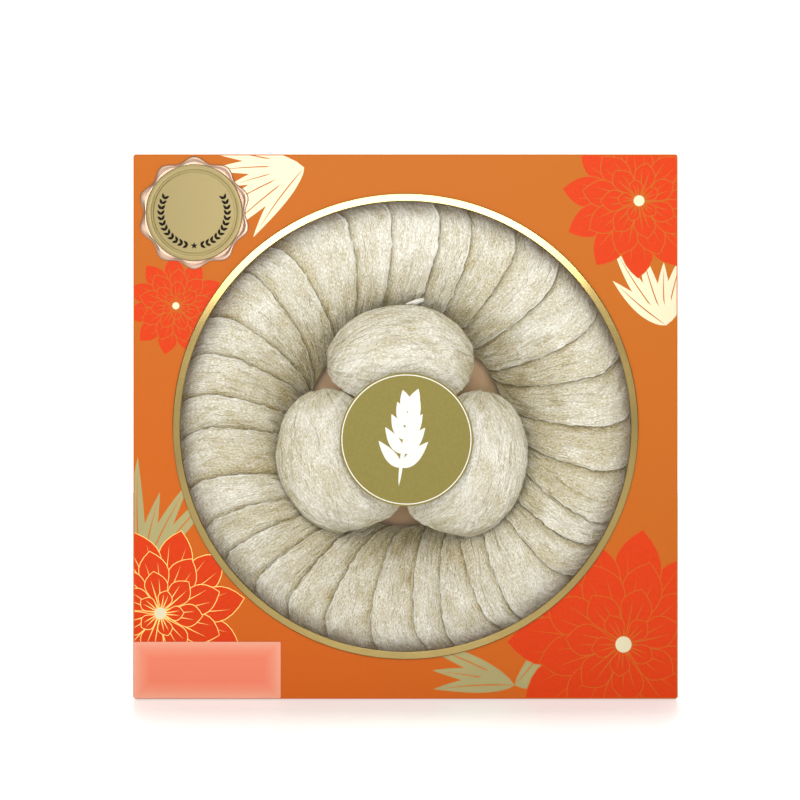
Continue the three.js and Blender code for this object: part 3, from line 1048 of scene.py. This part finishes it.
def noise(tree, vector, scale=1.0, detail=2.0, rough=0.5):
    made = add_node(tree, "ShaderNodeTexNoise")
    made.inputs["Scale"].default_value = scale
    made.inputs["Detail"].default_value = detail
    made.inputs["Roughness"].default_value = rough
    tree.links.new(vector, made.inputs["Vector"])
    return made.outputs["Fac"]


def stretched(tree, vector, scale):
    made = add_node(tree, "ShaderNodeMapping")
    made.inputs["Scale"].default_value = scale
    tree.links.new(vector, made.inputs["Vector"])
    return made.outputs["Vector"]


def math_node(tree, operation, *values):
    made = add_node(tree, "ShaderNodeMath", operation=operation)
    for socket, value in zip(made.inputs, values):
        if isinstance(value, (int, float)):
            socket.default_value = value
        else:
            tree.links.new(value, socket)
    return made.outputs["Value"]


def ramp(tree, factor, stops):
    made = add_node(tree, "ShaderNodeValToRGB")
    elements = made.color_ramp.elements
    while len(elements) < len(stops):
        elements.new(1.0)
    for element, (place, colour) in zip(elements, stops):
        element.position = place
        element.color = (*colour, 1.0)
    tree.links.new(factor, made.inputs["Fac"])
    return made.outputs["Color"]


def bump(tree, surface, height, strength, distance):
    made = add_node(tree, "ShaderNodeBump")
    made.inputs["Strength"].default_value = strength
    made.inputs["Distance"].default_value = distance
    tree.links.new(height, made.inputs["Height"])
    tree.links.new(made.outputs["Normal"], surface.inputs["Normal"])


def object_place(tree):
    return add_node(tree, "ShaderNodeTexCoord").outputs["Object"]


def object_axes(tree):
    axes = add_node(tree, "ShaderNodeSeparateXYZ")
    tree.links.new(object_place(tree), axes.inputs["Vector"])
    return axes.outputs


def nest_material():
    """Dried strands: ivory, with painted olive-brown shade in the furrows and low in the box, and a short
    felted grain.
    """
    made, tree, surface = new_material(NEST_FINISH, (0.7, 0.65, 0.5), 0.6)
    tone = add_node(tree, "ShaderNodeAttribute", attribute_name="tone").outputs["Fac"]
    strands = add_node(tree, "ShaderNodeUVMap", uv_map="Strands").outputs["UV"]
    fine = noise(tree, stretched(tree, strands, FINE_STRANDS), rough=0.6)
    broad = noise(tree, stretched(tree, strands, BROAD_STRANDS))
    blotch = noise(tree, object_place(tree), scale=60.0, detail=3.0)
    total = tone
    for pattern, weight in ((fine, FINE_WEIGHT), (broad, BROAD_WEIGHT), (blotch, BLOTCH_WEIGHT)):
        even = math_node(tree, "ADD", total, -weight / 2)
        total = math_node(tree, "MULTIPLY_ADD", pattern, weight, even)
    tree.links.new(ramp(tree, total, NEST_TONES), surface.inputs["Base Color"])
    bump(tree, surface, fine, strength=0.7, distance=0.0006)
    surface.inputs["Subsurface Weight"].default_value = 0.06
    surface.inputs["Subsurface Radius"].default_value = (0.003, 0.002, 0.001)
    surface.inputs["Specular IOR Level"].default_value = 0.25
    return made


def paper_bump(tree, surface, strength=0.12):
    """The fine grain of paper, which is also given back for the colour."""
    fibres = noise(tree, stretched(tree, object_place(tree), FIBRES), detail=3.0)
    bump(tree, surface, fibres, strength, distance=0.0002)
    return fibres


def board_material():
    """Satin orange wrap, yellower towards the upper right."""
    made, tree, surface = new_material("orange_wrap", (0.5, 0.125, 0.02), 0.42)
    axes = object_axes(tree)
    slope = math_node(tree, "MULTIPLY", axes["X"], YELLOW_RIGHTWARD)
    slope = math_node(tree, "MULTIPLY_ADD", axes["Z"], YELLOW_UPWARD, slope)
    fibres = paper_bump(tree, surface)
    slope = math_node(tree, "MULTIPLY_ADD", fibres, YELLOW_FIBRES, slope)
    tree.links.new(ramp(tree, slope, WRAP_TONES), surface.inputs["Base Color"])
    surface.inputs["Specular IOR Level"].default_value = PRINT_GLOSS
    return made


def print_material(name, colour, roughness):
    """Flat ink on the wrap, with the paper's own fine grain."""
    made, tree, surface = new_material(name, colour, roughness)
    fibres = paper_bump(tree, surface)
    darker = tuple(value * 0.9 for value in colour)
    stops = [(MOTTLE_DARK, darker), (MOTTLE_LIGHT, colour)]
    tree.links.new(ramp(tree, fibres, stops), surface.inputs["Base Color"])
    surface.inputs["Specular IOR Level"].default_value = PRINT_GLOSS
    return made


def foil_material(name, colour, roughness, metallic=1.0):
    """Gilt foil, slightly wavy, with faint changes in its colour and gloss."""
    made, tree, surface = new_material(name, colour, roughness, metallic)
    waves = noise(tree, object_place(tree), scale=45.0)
    lighter = tuple(min(1.0, value * 1.06) for value in colour)
    darker = tuple(value * 0.94 for value in colour)
    stops = [(MOTTLE_DARK, darker), (MOTTLE_LIGHT, lighter)]
    tree.links.new(ramp(tree, waves, stops), surface.inputs["Base Color"])
    gloss = math_node(tree, "MULTIPLY_ADD", waves, FOIL_HAZE, roughness - FOIL_HAZE / 2)
    tree.links.new(gloss, surface.inputs["Roughness"])
    bump(tree, surface, waves, strength=0.05, distance=0.0006)
    return made


def film_material():
    """Clear sheet: next to nothing of it shows."""
    made, _, surface = new_material("clear_sheet", (0.3, 0.3, 0.28), 0.3)
    surface.inputs["Alpha"].default_value = 0.03
    surface.inputs["Specular IOR Level"].default_value = 0.2
    return made


def tray_material():
    """Moulded sheet, brown with pinkish patches."""
    made, tree, surface = new_material("brown_tray", (0.3, 0.19, 0.1), 0.6)
    mottle = noise(tree, object_place(tree), scale=40.0, detail=3.0)
    tree.links.new(ramp(tree, mottle, TRAY_TONES), surface.inputs["Base Color"])
    bump(tree, surface, noise(tree, object_place(tree), scale=900.0), strength=0.15, distance=0.0003)
    return made


def strip_material():
    """Salmon paper, paler towards the strip's edges."""
    made, tree, surface = new_material("salmon_paper", (0.62, 0.155, 0.09), 0.45)
    axes = object_axes(tree)
    middles = (STRIP_MIDDLE[0] * MM, CENTRE_HEIGHT + STRIP_MIDDLE[1] * MM)
    from_edge = []
    for axis, middle, half in zip(("X", "Z"), middles, STRIP_HALF):
        away = math_node(tree, "ABSOLUTE", math_node(tree, "SUBTRACT", axes[axis], middle))
        from_edge.append(math_node(tree, "SUBTRACT", half * MM, away))
    margin = math_node(tree, "MULTIPLY", math_node(tree, "MINIMUM", *from_edge), 1 / STRIP_MARGIN)
    grain = noise(tree, object_place(tree), scale=700.0, detail=3.0)
    pale = math_node(tree, "ADD", margin, math_node(tree, "MULTIPLY", grain, STRIP_GRAIN))
    tree.links.new(ramp(tree, pale, STRIP_TONES), surface.inputs["Base Color"])
    paper_bump(tree, surface, strength=0.1)
    surface.inputs["Specular IOR Level"].default_value = PRINT_GLOSS
    return made


# Artwork for the lid, the label and the seal.


def blossom(centre, size, turn, line):
    """A many-petalled red flower with fine lines, drawn from its back petals forwards."""
    shapes = []
    for count, reach, width, offset in PETAL_RINGS:
        for k in range(count):
            angle = turn + offset + 360 * k / count
            petal = leaf(centre, angle, size * reach, size * width, bend=0.05, steps=12, blunt=0.9)
            shapes.append((petal, line))
            shapes.append((shrunk(petal, PETAL_LINE), INK_RED))
            for side in VEIN_TURNS:
                vein = leaf(centre, angle + side, size * reach * VEIN_SHARE, RIB_WIDTH, bend=0.05, steps=5)
                shapes.append((vein, line))
    shapes.append((circle(centre, size * HEART_SHARE, 16), GILT_PAINTED_LIT))
    return shapes


def leaf_spray(root, angles, length, width, kind, bend):
    """Slender pointed leaves from one root, each with a clear middle rib."""
    shapes = []
    for k, angle in enumerate(angles):
        size = length * (SPRAY_MEAN + SPRAY_SPREAD * math.cos(SPRAY_STEP * k))
        shapes.append((leaf(root, angle, size, width, bend), kind))
        shapes.append((leaf(root, angle, size * RIB_SHARE, RIB_WIDTH, bend, steps=8), PLAIN))
    return shapes


def lid_art():
    """Gilt leaves with red blossoms over them."""
    shapes = []
    for spray in LID_SPRAYS:
        shapes += leaf_spray(*spray)
    for flower in LID_BLOSSOMS:
        shapes += blossom(*flower)
    return shapes


def label_art():
    """The thin ring near the round label's edge, and a plain white sprig."""
    shapes = []
    for inset, kind in LABEL_RING:
        shapes.append((circle(LABEL_CENTRE, LABEL_RADIUS - inset, LABEL_STEPS), kind))
    foot = (LABEL_CENTRE[0] + SPRIG_FOOT[0], LABEL_CENTRE[1] + SPRIG_FOOT[1])
    leaves = [leaf(foot, 84, SPRIG_HEIGHT, 2.2, bend=-0.06, steps=16)]
    for k in range(SPRIG_PAIRS):
        up = SPRIG_HEIGHT * (SPRIG_FIRST + SPRIG_STEP * k)
        root = (foot[0] + up * SPRIG_LEAN, foot[1] + up)
        leaves.append(leaf(root, 38 + 6 * k, 19 - 1.6 * k, 6.5, bend=0.1, steps=12))
        leaves.append(leaf(root, 136 - 6 * k, 18 - 1.6 * k, 6.0, bend=-0.1, steps=12))
    return shapes + [(outline, LABEL_INK) for outline in leaves]


def seal_art():
    """A laurel wreath of two sprigs, open at the top, with a small star below."""
    shapes = []
    for side in (1, -1):
        for k in range(WREATH_PAIRS):
            turn = math.radians(WREATH_START + WREATH_STEP * k)
            right = side * WREATH_RADIUS * math.cos(turn)
            root = (SEAL_CENTRE[0] + right, SEAL_CENTRE[1] + WREATH_RADIUS * math.sin(turn))
            heading = math.degrees(turn) + 90
            for spread in (WREATH_SPREAD, -WREATH_SPREAD):
                angle = heading + spread if side > 0 else 180 - (heading + spread)
                shapes.append((leaf(root, angle, *WREATH_LEAF, steps=8), SEAL_INK))
    middle = (SEAL_CENTRE[0], SEAL_CENTRE[1] - WREATH_RADIUS)
    star = []
    for k in range(STAR_CORNERS):
        star.append(polar(middle, STAR_REACH[k % 2], math.pi / 2 + 2 * math.pi * k / STAR_CORNERS))
    shapes.append((star, SEAL_INK))
    return shapes


# Pieces.


def square_loops(rims):
    """Loops round the box, from half widths, corner radii and depths."""
    return [at_depth(rounded_square(half, half, corner), depth) for half, corner, depth in rims]


def make_lid(settings):
    hole = circle((0, 0), LID_HOLE, ROUND_STEPS)
    loops = square_loops(LID_RIMS)
    front, inner = [[(x, y) for x, y, _ in loop] for loop in (loops[0], loops[-1])]
    shell = Shell()
    shell.flat(cut_face(front, hole, lid_art()), 0.0)
    shell.loops(loops)
    shell.flat(cut_face(inner, hole, []), -LID_FACE)
    shell.loops([at_depth(hole, 0.0), at_depth(hole, -LID_FACE)])
    materials = [
        board_material(),
        print_material("red_ink", settings.red_ink, roughness=0.4),
        foil_material("gilt_line", settings.gilt_line, roughness=0.34),
        # Lit and shaded copies of the leaves' one gilt foil: painted highlight and painted shade.
        foil_material("pale_gilt", settings.pale_gilt, roughness=0.45, metallic=0.2),
        foil_material("deep_gilt", settings.deep_gilt, roughness=0.4, metallic=0.4),
    ]
    finish_piece(link("printed_lid", shell.mesh("printed_lid", materials)), "printed_board", "lid")


def make_base(settings):
    loops = square_loops(BASE_RIMS)
    shell = Shell()
    shell.loops(loops)
    shell.cap(loops[0])
    shell.cap(loops[-1])
    wrap = print_material("back_wrap", settings.back_wrap, roughness=0.55)
    finish_piece(link("wrapped_base", shell.mesh("wrapped_base", [wrap])), "base_board", "box_base")


def make_rim(settings):
    outer, inner, top = FLANGE_RADIUS, WINDOW_RADIUS, FLANGE_PROUD
    sleeve = inner + SLEEVE_WALL
    profile = [(inner, -LID_FACE), (sleeve, -LID_FACE), (sleeve, STICKER_GAP), (outer, STICKER_GAP)]
    profile += [(outer - inset, top - down) for inset, down in RIM_EDGE]
    profile += [(inner + inset, top - down) for inset, down in reversed(RIM_EDGE)]
    profile.append((inner, -LID_FACE))
    loops = [at_depth(circle((0, 0), radius, ROUND_STEPS), depth) for radius, depth in profile]
    shell = Shell()
    shell.loops(loops)
    gilt = foil_material("gilt_ring", settings.gilt_ring, roughness=0.14)
    mesh = shell.mesh("gilt_ring", [gilt])
    finish_piece(link("gilt_ring", mesh), "gilt", "window_rim")


def make_label(settings):
    edge = circle(LABEL_CENTRE, LABEL_RADIUS, LABEL_STEPS)
    shell = Shell()
    shell.flat(cut_face(edge, None, label_art()), LABEL_FRONT)
    shell.loops([at_depth(edge, LABEL_FRONT), at_depth(edge, LABEL_BACK)])
    shell.cap(at_depth(edge, LABEL_BACK))
    gold = print_material("olive_gold_paper", settings.label_paper, roughness=0.5)
    white = print_material("white_ink", settings.label_ink, roughness=0.5)
    finish_piece(link("round_label", shell.mesh("round_label", [gold, white])), "label", "centre_label")


def scalloped(radius, wave=0.0, steps=240):
    """A wavy circle round the seal's centre."""
    points = []
    for k in range(steps):
        turn = 2 * math.pi * k / steps
        reach = radius + wave * math.cos(SEAL_LOBES * turn)
        points.append(polar(SEAL_CENTRE, reach, math.pi / 2 - turn))
    return points


def make_seal(settings):
    shell = Shell()
    shell.flat(cut_face(scalloped(SEAL_FACE_RADIUS), None, seal_art()), SEAL_FACE)
    shell.loops([at_depth(scalloped(radius), depth) for radius, depth in SEAL_DISC_RIMS], SEAL_GOLD)
    border = [at_depth(scalloped(radius, wave), depth) for radius, wave, depth in SEAL_BORDER]
    shell.loops(border, SEAL_ROSE)
    shell.cap(border[-1], SEAL_ROSE)
    materials = [
        foil_material("seal_gold", settings.seal_gold, roughness=0.36, metallic=0.35),
        print_material("wreath_ink", settings.wreath_ink, roughness=0.6),
        foil_material("rose_gold", settings.rose_gold, roughness=0.3, metallic=0.6),
    ]
    mesh = shell.mesh("scalloped_seal", materials)
    finish_piece(link("scalloped_seal", mesh), "seal", "corner_seal")


def make_strip():
    loops = []
    for inset, depth in STRIP_RIMS:
        outline = rounded_square(STRIP_HALF[0] - inset, STRIP_HALF[1] - inset, STRIP_CORNER, STRIP_MIDDLE)
        loops.append(at_depth(outline, depth))
    shell = Shell()
    shell.loops(loops)
    shell.cap(loops[0])
    shell.cap(loops[-1])
    mesh = shell.mesh("salmon_strip", [strip_material()])
    finish_piece(link("salmon_strip", mesh), "strip", "corner_strip")


def finish_window():
    """New finishes for the clear sheet and the tray, whose shapes stay."""
    for node, material in (("window_film", film_material()), ("tray", tray_material())):
        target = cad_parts[node]
        target.data.materials.clear()
        target.data.materials.append(material)


def make_ring_nests(settings):
    for index in range(RING_COUNT):
        name = f"nest_ring_{index + 1:02d}"
        dice = np.random.default_rng(RING_DICE + index)
        tint = RING_TINT * wobble(index + TINT_SEED)
        mesh, matte = nest_body(
            name, ring_grids(index), RING_SEED + index, settings.relief, tint, painted_tuck_shadow()
        )
        groups = strand_groups(
            matte, dice, settings.ring_strands, RING_STRAND_COLUMN, RING_LIP_STRANDS, RING_FRAYS,
            RING_FRAY_COLUMN,
        )
        if index == FLAKE_NEST:
            groups.append((flake_strands(dice), *FLAKE_STRAND))
        stranded_nest(name, mesh, path_mesh(name + "_paths", groups, dice, tint), settings)


def make_centre_nests(settings):
    for index, nest in enumerate(CENTRE_NESTS):
        name = nest[0]
        dice = np.random.default_rng(CENTRE_DICE + index)
        mesh, matte = nest_body(name, dome_grids(nest), CENTRE_SEED + index, settings.relief, CENTRE_TINT)
        groups = strand_groups(
            matte, dice, settings.centre_strands, DOME_STRAND_COLUMN, CENTRE_LIP_STRANDS, CENTRE_FRAYS,
            DOME_STRAND_COLUMN,
        )
        stranded_nest(name, mesh, path_mesh(name + "_paths", groups, dice, CENTRE_TINT), settings)


# Stage.


def area_light(name, place, target, size, power):
    lamp = bpy.data.lights.new(name, "AREA")
    lamp.shape = "RECTANGLE"
    lamp.size, lamp.size_y = size
    lamp.energy = power
    made = bpy.data.objects.new(name, lamp)
    made.location = place
    made.rotation_euler = (Vector(target) - Vector(place)).to_track_quat("-Z", "Y").to_euler()
    bpy.context.scene.collection.objects.link(made)
    return made


def stage_plane(name, corners, material):
    mesh = bpy.data.meshes.new(name)
    mesh.from_pydata(corners, [], [(0, 1, 2, 3)])
    mesh.materials.append(material)
    link(name, mesh)


def make_floor():
    """A glossy white floor that glows more towards the viewer."""
    floor, tree, surface = new_material("white_floor", (0.4, 0.4, 0.4), roughness=0.42)
    surface.inputs["Emission Color"].default_value = WHITE
    glow = math_node(tree, "MULTIPLY_ADD", object_axes(tree)["Y"], GLOW_PER_METRE, GLOW_AT_BOX)
    glow = math_node(tree, "MAXIMUM", glow, FLOOR_GLOW[0])
    glow = math_node(tree, "MINIMUM", glow, FLOOR_GLOW[1])
    tree.links.new(glow, surface.inputs["Emission Strength"])
    stage_plane("floor", FLOOR_CORNERS, floor)


def make_wall():
    wall, _, surface = new_material("white_wall", (0.9, 0.9, 0.9), roughness=1.0)
    surface.inputs["Emission Color"].default_value = WHITE
    surface.inputs["Emission Strength"].default_value = WALL_GLOW
    stage_plane("wall", WALL_CORNERS, wall)


def make_lights(settings):
    """The lamps and the even light all round. The strip is only mirrored, and lights no dull face."""
    for name, place, target, size, power in LIGHTS:
        made = area_light(name, place, target, size, getattr(settings, power))
        made.visible_diffuse = name != "strip"
    world = bpy.data.worlds.new("studio")
    world.use_nodes = True
    background = world.node_tree.nodes["Background"]
    background.inputs["Color"].default_value = WORLD_TINT
    background.inputs["Strength"].default_value = settings.world_light
    bpy.context.scene.world = world


def make_camera(settings):
    scene = bpy.context.scene
    scene.view_settings.view_transform = "Standard"
    camera = bpy.data.cameras.new("camera")
    camera.lens = settings.lens
    camera.sensor_width = SENSOR_WIDTH
    camera.shift_x, camera.shift_y = CAMERA_SHIFT
    made = bpy.data.objects.new("camera", camera)
    made.location = (0.0, FRONT - CAMERA_DISTANCE, CENTRE_HEIGHT)
    made.rotation_euler = (math.pi / 2, 0.0, 0.0)
    scene.collection.objects.link(made)
    scene.camera = made


def make_stage(settings):
    make_floor()
    make_wall()
    make_lights(settings)
    make_camera(settings)


class NestSettings(bpy.types.PropertyGroup):
    strand_radius: bpy.props.FloatProperty(
        name="Strand Radius", description="Radius that a strand's own share is multiplied by", default=MM,
        min=0.0, precision=4, unit="LENGTH",
    )
    relief: bpy.props.FloatProperty(
        name="Relief", description="Height of the matted ridges, as a share of their usual height",
        default=1.0, min=0.0, subtype="FACTOR",
    )
    ring_strands: bpy.props.IntProperty(
        name="Ring Strands", description="Loose strands laid on each ring nest", default=170, min=1
    )
    centre_strands: bpy.props.IntProperty(
        name="Centre Strands", description="Loose strands laid on each centre nest", default=620, min=1
    )


def colour_setting(name, description, default):
    """A colour that a user can change."""
    return bpy.props.FloatVectorProperty(
        name=name, description=description, default=default, min=0.0, max=1.0, size=3, subtype="COLOR"
    )


class FinishSettings(bpy.types.PropertyGroup):
    red_ink: colour_setting("Red Ink", "Colour of the blossoms on the lid", (0.64, 0.045, 0.004))
    gilt_line: colour_setting("Gilt Line", "Colour of the lines of one blossom", (0.62, 0.4, 0.12))
    # Painted highlight and painted shade: lit and shaded colours of the one leaf foil.
    pale_gilt: colour_setting("Pale Gilt", "Colour of the upper leaves on the lid", (0.6, 0.56, 0.38))
    deep_gilt: colour_setting("Deep Gilt", "Colour of the lower leaves on the lid", (0.27, 0.24, 0.095))
    back_wrap: colour_setting("Back Wrap", "Colour of the wrapped base", (0.6, 0.125, 0.015))
    gilt_ring: colour_setting("Gilt Ring", "Colour of the ring round the window", (0.2, 0.149, 0.056))
    label_paper: colour_setting("Label Paper", "Colour of the round label", (0.25, 0.215, 0.06))
    label_ink: colour_setting("Label Ink", "Colour of the sprig on the round label", (0.85, 0.85, 0.8))
    seal_gold: colour_setting("Seal Gold", "Colour of the seal's disc", (0.188, 0.145, 0.045))
    wreath_ink: colour_setting("Wreath Ink", "Colour of the wreath on the seal", (0.008, 0.006, 0.004))
    rose_gold: colour_setting("Rose Gold", "Colour of the seal's border", (0.31, 0.205, 0.15))


class StageSettings(bpy.types.PropertyGroup):
    lens: bpy.props.FloatProperty(
        name="Lens", description="Focal length in millimetres", default=85.0, min=10.0
    )
    key_power: bpy.props.FloatProperty(
        name="Key Power", description="Power of the soft light above the box", default=7.2, unit="POWER"
    )
    panel_power: bpy.props.FloatProperty(
        name="Panel Power", description="Power of the soft light over the camera", default=4.2, unit="POWER"
    )
    fill_power: bpy.props.FloatProperty(
        name="Fill Power", description="Power of the low light behind the camera", default=1.4, unit="POWER"
    )
    strip_power: bpy.props.FloatProperty(
        name="Strip Power", description="Power of the strip that only glossy faces mirror", default=3.2,
        unit="POWER",
    )
    world_light: bpy.props.FloatProperty(
        name="World Light", description="Strength of the even light all round", default=0.42, min=0.0
    )


class NESTBOX_OT_lid(bpy.types.Operator):
    """Make the printed lid"""

    bl_idname = "nestbox.lid"
    bl_label = "Printed Lid"

    def execute(self, context):
        make_lid(context.scene.nestbox_finishes)
        return {"FINISHED"}


class NESTBOX_OT_base(bpy.types.Operator):
    """Make the wrapped base"""

    bl_idname = "nestbox.base"
    bl_label = "Wrapped Base"

    def execute(self, context):
        make_base(context.scene.nestbox_finishes)
        return {"FINISHED"}


class NESTBOX_OT_window(bpy.types.Operator):
    """Make the gilt ring, and finish the clear sheet and the tray"""

    bl_idname = "nestbox.window"
    bl_label = "Window and Tray"

    def execute(self, context):
        make_rim(context.scene.nestbox_finishes)
        finish_window()
        return {"FINISHED"}


class NESTBOX_OT_stickers(bpy.types.Operator):
    """Make the round label, the scalloped seal and the strip"""

    bl_idname = "nestbox.stickers"
    bl_label = "Stickers"

    def execute(self, context):
        make_label(context.scene.nestbox_finishes)
        make_seal(context.scene.nestbox_finishes)
        make_strip()
        return {"FINISHED"}


class NESTBOX_OT_ring_nests(bpy.types.Operator):
    """Make the ring of overlapping nests"""

    bl_idname = "nestbox.ring_nests"
    bl_label = "Ring Nests"

    def execute(self, context):
        make_ring_nests(context.scene.nestbox_nests)
        return {"FINISHED"}


class NESTBOX_OT_centre_nests(bpy.types.Operator):
    """Make the three domed nests in the middle"""

    bl_idname = "nestbox.centre_nests"
    bl_label = "Centre Nests"

    def execute(self, context):
        make_centre_nests(context.scene.nestbox_nests)
        return {"FINISHED"}


class NESTBOX_OT_stage(bpy.types.Operator):
    """Make the floor, the lights and the camera"""

    bl_idname = "nestbox.stage"
    bl_label = "Stage"

    def execute(self, context):
        make_stage(context.scene.nestbox_stage)
        return {"FINISHED"}


OPERATORS = (
    NESTBOX_OT_lid, NESTBOX_OT_base, NESTBOX_OT_window, NESTBOX_OT_stickers,
    NESTBOX_OT_ring_nests, NESTBOX_OT_centre_nests, NESTBOX_OT_stage,
)


class NESTBOX_PT_sidebar(bpy.types.Panel):
    bl_label = "Nest Box"
    bl_idname = "NESTBOX_PT_sidebar"
    bl_space_type = "VIEW_3D"
    bl_region_type = "UI"
    bl_category = "Nest Box"

    def draw(self, context):
        scene = context.scene
        for group in (scene.nestbox_nests, scene.nestbox_finishes, scene.nestbox_stage):
            for name in group.__annotations__:
                self.layout.prop(group, name)
        for operator in OPERATORS:
            self.layout.operator(operator.bl_idname)


CLASSES = (NestSettings, FinishSettings, StageSettings, *OPERATORS, NESTBOX_PT_sidebar)


def register():
    for item in CLASSES:
        bpy.utils.register_class(item)
    bpy.types.Scene.nestbox_nests = bpy.props.PointerProperty(type=NestSettings)
    bpy.types.Scene.nestbox_finishes = bpy.props.PointerProperty(type=FinishSettings)
    bpy.types.Scene.nestbox_stage = bpy.props.PointerProperty(type=StageSettings)


def unregister():
    del bpy.types.Scene.nestbox_nests
    del bpy.types.Scene.nestbox_finishes
    del bpy.types.Scene.nestbox_stage
    for item in reversed(CLASSES):
        bpy.utils.unregister_class(item)


def main():
    register()
    bpy.ops.nestbox.lid()
    bpy.ops.nestbox.base()
    bpy.ops.nestbox.window()
    bpy.ops.nestbox.stickers()
    bpy.ops.nestbox.ring_nests()
    bpy.ops.nestbox.centre_nests()
    bpy.ops.nestbox.stage()
    bpy.context.view_layer.update()


if __name__ == "__main__":
    main()
